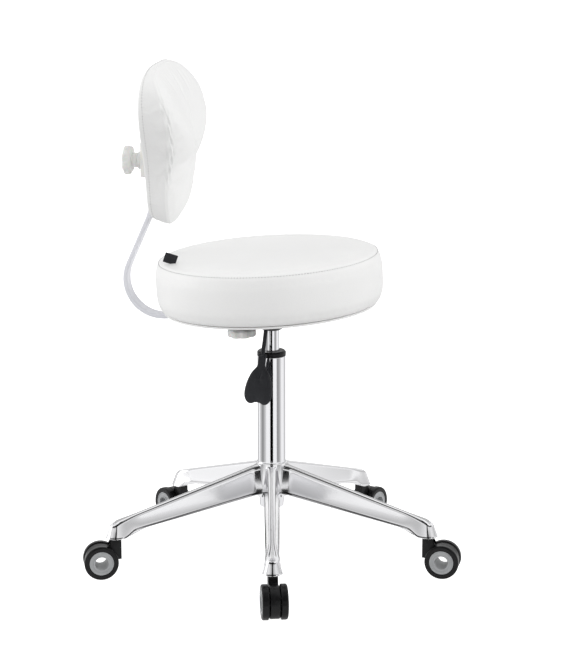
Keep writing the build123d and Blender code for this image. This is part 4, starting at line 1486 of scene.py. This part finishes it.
class STOOL_OT_lever(StoolOperator):
    """Builds the release lever: bent rod and moulded handle"""

    bl_idname = "stool.lever"
    bl_label = "Release lever"

    def build(self):
        pivot = joint_point("lever_pull") / MM
        route = [
            pivot + (0.6, 0, 2), pivot + (-0.6, 0.5, -12), (-29.5, 4, 430), (-38, 5, 409), (-46, 6.2, 391),
            (-49, 6.6, 383),
        ]
        path = smooth_line(np.array(route, float), 48) * MM
        turn = np.linspace(0, 2 * math.pi, 32, endpoint=False)
        round_section = np.stack([np.cos(turn), np.sin(turn)], -1) * LEVER_ROD_R * MM
        rod = rounded_sweep(path, round_section, 0.8 * MM, side=(0, 1, 0))
        boss = soften([(0, -6), (5, -6), (5, 6), (0, 6)], [0, 0.8, 0.8, 0], 4, closed=False)
        pin = soften([(0, -10), (2.5, -10), (2.5, 10), (0, 10)], [0, 0.4, 0.4, 0], 3, closed=False)
        across = axes(pivot * MM, (1, 0, 0), (0, 1, 0))
        arm = slab(rounded_box_section(30, 9.8, 2, 4) * MM, 0, 3.6 * MM, 0.6 * MM)
        arm_place = placement((1, 0, 0), (0, 1, 0), (0, 0, 1), np.array(LEVER_ARM_CENTRE) * MM)
        skins = [
            rod, moved(lathe(boss * MM, 48), across), moved(lathe(pin * MM, 36), across),
            moved(arm, arm_place),
        ]
        piece("lever_arm", skins, "release_lever", finish("lever"), ["lever_rod"], CRISP)
        self.handle()

    def handle(self):
        """The outline is carried from one face to the other: its share grows to the full outline
        and shrinks again, while each face falls off towards its edge from a crowned middle."""
        start = np.array(PADDLE_START)
        run = np.array(PADDLE_END) - start
        length = np.linalg.norm(run)
        outline = paddle_outline() * (1, length / PADDLE_DRAWN_LENGTH)
        middle = np.array([0, 0.5 * length])
        share = np.array([0.02, 0.3, 0.6, 0.8, 0.9, 0.955, 0.985, 1.0])
        fall = PADDLE_CROWN * (1 - share**6) ** 0.5
        thin = 0.62 + 0.38 * step(outline[:, 1], 0.1 * length, 0.45 * length)
        face = middle + (outline - middle)[None] * share[:, None, None]
        up = np.concatenate([face, (fall[:, None] * (1.12 - 0.12 * share[:, None]) * thin)[:, :, None]], -1)
        under = up[::-1] * (1, 1, -1)
        grid = np.vstack([up, under[1:]])
        down = run / length
        wide = np.array((0, 1, 0)) - down * down[1]
        wide /= np.linalg.norm(wide)
        turned = placement(wide, down, np.cross(wide, down), start * MM)
        closed = skin(grid * MM, poles=(grid[0].mean(0) * MM, grid[-1].mean(0) * MM))
        piece(
            "lever_handle", [moved(closed, turned)], "release_lever", finish("lever"),
            ["lever_paddle"],
        )


# Camera, in metres and radians, with its lens in millimetres
CAMERA_PLACE = (-4.0953, -0.7742, 1.3938)
CAMERA_YAW = 0.1791
CAMERA_PITCH = 0.2267
CAMERA_LENS = 137.03
SENSOR_WIDTH = 36.0


def area_light(name, location, target, size, power):
    """A square soft light that faces a target."""
    lamp = bpy.data.lights.new(name, "AREA")
    lamp.shape = "SQUARE"
    lamp.size = size
    lamp.energy = power
    obj = bpy.data.objects.new(name, lamp)
    obj.location = location
    facing = Vector(target) - Vector(location)
    obj.rotation_euler = facing.to_track_quat("-Z", "Y").to_euler()
    bpy.context.scene.collection.objects.link(obj)


# How bright the floor looks to matt surfaces, and how much more to mirrors
FLOOR_DIFFUSE = 0.06
FLOOR_GLOSSY = 0.42
FLOOR_REACH = 30.0
FLOOR_LEVEL = -0.0005
# The room's light: even part, extra from both sides, and change overhead
ROOM_BASE = 0.79
ROOM_SIDES = 0.86
ROOM_TOP = -0.12
MIRROR_HORIZON = 0.55
MIRROR_WALL = 0.96
MIRROR_STRIPE = 0.95
# Sheets on the floor round the stool: (degrees from the camera's side, brightness) across each
SHEET_STEPS = 24
SHEET_NEAR = 0.6
SHEET_FAR = 2.4
SHEET_HEIGHT = 0.0004
REFLECTION_SHEETS = {
    "sheet_front": [(-11.5, 0.0), (11.5, 0.0)],
    "sheet_right": [(41, 0.34), (62, 0.4), (84, 0.95)],
    "sheet_left": [(-108, 0.8), (-76, 0.27), (-44, 0.85)],
    "sheet_behind_right": [(112, 0.95), (128, 0.55), (146, 0.8)],
    "sheet_behind_left": [(-162, 0.8), (-146, 0.42), (-128, 0.75)],
}


class STOOL_OT_stage(StoolOperator):
    """Builds the floor, the soft lights, the world and the camera"""

    bl_idname = "stool.stage"
    bl_label = "Stage"

    def build(self):
        scene = bpy.context.scene
        scene.view_settings.view_transform = "Standard"
        scene.view_settings.look = "None"
        floor = bpy.data.meshes.new("floor")
        corners = np.array([(-1, -1, 0), (1, -1, 0), (1, 1, 0), (-1, 1, 0)], float) * FLOOR_REACH
        floor.from_pydata(corners.tolist(), [], [(0, 1, 2, 3)])
        made = bpy.data.materials.new("pale_floor")
        made.use_nodes = True
        build = Nodes(made.node_tree)
        shader = made.node_tree.nodes["Principled BSDF"]
        shader.inputs["Base Color"].default_value = (0.55, 0.55, 0.55, 1)
        shader.inputs["Roughness"].default_value = 0.9
        shader.inputs["Specular IOR Level"].default_value = 0.0
        shader.inputs["Emission Color"].default_value = (1, 1, 1, 1)
        rays = build.add("ShaderNodeLightPath").outputs
        seen = build.math("MULTIPLY_ADD", rays["Is Glossy Ray"], FLOOR_GLOSSY, FLOOR_DIFFUSE)
        seen = build.math("ADD", seen, rays["Is Camera Ray"])
        made.node_tree.links.new(seen, shader.inputs["Emission Strength"])
        floor.materials.append(made)
        ground = bpy.data.objects.new("floor", floor)
        scene.collection.objects.link(ground)
        ground.location = (0, 0, FLOOR_LEVEL)
        self.world(scene)
        area_light("key_light", (-1.3, -2.6, 2.6), (0, 0, 0.5), size=1.4, power=9)
        area_light("rim_light", (-0.3, 2.8, 0.9), (0, 0, 0.3), size=1.6, power=12)
        self.reflections()
        self.camera(scene)

    def world(self, scene):
        """A white room. The camera sees plain white. Matt surfaces get more light from the two
        sides than from the front. Mirrors see a grey horizon, a dark wall above it on the
        camera's side and a dark stripe straight behind the camera."""
        world = bpy.data.worlds.new("studio")
        scene.world = world
        world.use_nodes = True
        world.node_tree.nodes.clear()
        build = Nodes(world.node_tree)
        where = build.add("ShaderNodeTexCoord").outputs["Generated"]
        parts = build.add("ShaderNodeSeparateXYZ", {0: where}).outputs
        rays = build.add("ShaderNodeLightPath").outputs
        sideways = build.math("MULTIPLY", parts["Y"], parts["Y"])
        upward = build.math("MULTIPLY", parts["Z"], parts["Z"])
        matt = build.math("MULTIPLY_ADD", sideways, ROOM_SIDES, ROOM_BASE)
        matt = build.math("MULTIPLY_ADD", upward, ROOM_TOP, matt)
        off_band = build.math("ABSOLUTE", build.math("SUBTRACT", parts["Z"], 0.12))
        mirror = build.remap(off_band, 0.0, 0.2, MIRROR_HORIZON, 1.0)
        ahead = (-math.cos(CAMERA_YAW), -math.sin(CAMERA_YAW), 0)
        toward = build.add("ShaderNodeVectorMath", {0: where, 1: ahead}, operation="DOT_PRODUCT")
        wall = build.math(
            "MULTIPLY", build.remap(parts["Z"], 0.3, 0.38, 0, 1), build.remap(parts["Z"], 0.8, 0.9, 1, 0)
        )
        facing = toward.outputs["Value"]
        wall = build.math("MULTIPLY", wall, build.remap(facing, 0.1, 0.3, 0, MIRROR_WALL))
        mirror = build.math("MULTIPLY", mirror, build.math("SUBTRACT", 1.0, wall))
        beside = (math.sin(CAMERA_YAW), -math.cos(CAMERA_YAW), 0)
        aside = build.add("ShaderNodeVectorMath", {0: where, 1: beside}, operation="DOT_PRODUCT")
        aside = build.math("ABSOLUTE", aside.outputs["Value"])
        stripe = build.math(
            "MULTIPLY", build.remap(aside, 0.13, 0.2, 1, 0), build.remap(facing, 0, 0.2, 0, MIRROR_STRIPE)
        )
        mirror = build.math("MULTIPLY", mirror, build.math("SUBTRACT", 1.0, stripe))
        tone = build.mix(rays["Is Glossy Ray"], self.grey(build, matt), self.grey(build, mirror))
        tone = build.mix(rays["Is Camera Ray"], tone, (1, 1, 1, 1))
        back = build.add("ShaderNodeBackground", {"Color": tone, "Strength": 1.0})
        output = build.add("ShaderNodeOutputWorld")
        world.node_tree.links.new(back.outputs[0], output.inputs["Surface"])

    def grey(self, build, tone):
        """A grey whose three channels are one tone."""
        return build.add("ShaderNodeCombineColor", {0: tone, 1: tone, 2: tone}).outputs[0]

    def reflections(self):
        """Flat sheets on the floor that only mirrors see: a black one straight in front of the
        camera's side, and grey ones that shade gently at both sides and behind."""
        facing = math.atan2(CAMERA_PLACE[1], CAMERA_PLACE[0])
        for name, keys in REFLECTION_SHEETS.items():
            angles = np.linspace(keys[0][0], keys[-1][0], SHEET_STEPS)
            tones = np.interp(angles, [key[0] for key in keys], [key[1] for key in keys])
            turn = facing + np.radians(angles)
            ring = np.stack([np.cos(turn), np.sin(turn), 0 * turn], -1)
            points = np.vstack([ring * SHEET_NEAR, ring * SHEET_FAR]) + (0, 0, SHEET_HEIGHT)
            faces = [(k, k + 1, k + 1 + SHEET_STEPS, k + SHEET_STEPS) for k in range(SHEET_STEPS - 1)]
            self.card(name, points, faces, np.tile(tones, 2))

    def card(self, name, points, faces, tones):
        """A glowing sheet that is hidden from the camera and from everything but mirrors."""
        mesh = bpy.data.meshes.new(name)
        mesh.from_pydata(points.tolist(), [], faces)
        mesh.attributes.new("tone", "FLOAT", "POINT").data.foreach_set("value", tones)
        made = bpy.data.materials.new(name)
        made.use_nodes = True
        made.node_tree.nodes.clear()
        build = Nodes(made.node_tree)
        tone = build.add("ShaderNodeAttribute", attribute_name="tone").outputs["Fac"]
        glow = build.add("ShaderNodeEmission", {"Color": (1, 1, 1, 1), "Strength": tone})
        output = build.add("ShaderNodeOutputMaterial")
        made.node_tree.links.new(glow.outputs[0], output.inputs["Surface"])
        mesh.materials.append(made)
        obj = bpy.data.objects.new(name, mesh)
        bpy.context.scene.collection.objects.link(obj)
        obj.visible_camera = False
        obj.visible_diffuse = False
        obj.visible_shadow = False
        obj.visible_transmission = False

    def camera(self, scene):
        """The camera, turned by its yaw and tipped down by its pitch."""
        data = bpy.data.cameras.new("camera")
        data.lens = CAMERA_LENS
        data.sensor_width = SENSOR_WIDTH
        data.clip_end = 100.0
        camera = bpy.data.objects.new("camera", data)
        facing = Vector(
            (
                math.cos(CAMERA_YAW) * math.cos(CAMERA_PITCH),
                math.sin(CAMERA_YAW) * math.cos(CAMERA_PITCH),
                -math.sin(CAMERA_PITCH),
            )
        )
        camera.location = CAMERA_PLACE
        camera.rotation_euler = facing.to_track_quat("-Z", "Y").to_euler()
        scene.collection.objects.link(camera)
        scene.camera = camera


class STOOL_PT_panel(bpy.types.Panel):
    """Lists the stool's sizes, colours and pieces"""

    bl_idname = "STOOL_PT_panel"
    bl_label = "Pedicure Stool"
    bl_space_type = "VIEW_3D"
    bl_region_type = "UI"
    bl_category = "Stool"

    def draw(self, context):
        for settings in (context.scene.stool_sizes, context.scene.stool_colours):
            for key in settings.__annotations__:
                self.layout.prop(settings, key)
        for operator in PIECE_OPERATORS:
            self.layout.operator(operator.bl_idname)


PIECE_OPERATORS = [
    STOOL_OT_finishes,
    STOOL_OT_stage,
    STOOL_OT_star_base,
    STOOL_OT_castors,
    STOOL_OT_gas_lift,
    STOOL_OT_lever,
    STOOL_OT_seat,
    STOOL_OT_back_bar,
    STOOL_OT_backrest,
    STOOL_OT_knobs,
]
CLASSES = [StoolColours, StoolSizes, *PIECE_OPERATORS, STOOL_PT_panel]


def register():
    """Adds the classes and the stool's settings to Blender."""
    for one_class in CLASSES:
        bpy.utils.register_class(one_class)
    bpy.types.Scene.stool_colours = PointerProperty(type=StoolColours)
    bpy.types.Scene.stool_sizes = PointerProperty(type=StoolSizes)


def unregister():
    """Takes the settings and the classes out again."""
    del bpy.types.Scene.stool_sizes
    del bpy.types.Scene.stool_colours
    for one_class in reversed(CLASSES):
        bpy.utils.unregister_class(one_class)


def main():
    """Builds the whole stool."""
    register()
    for operator in PIECE_OPERATORS:
        group, name = operator.bl_idname.split(".")
        getattr(getattr(bpy.ops, group), name)()


if __name__ == "__main__":
    main()
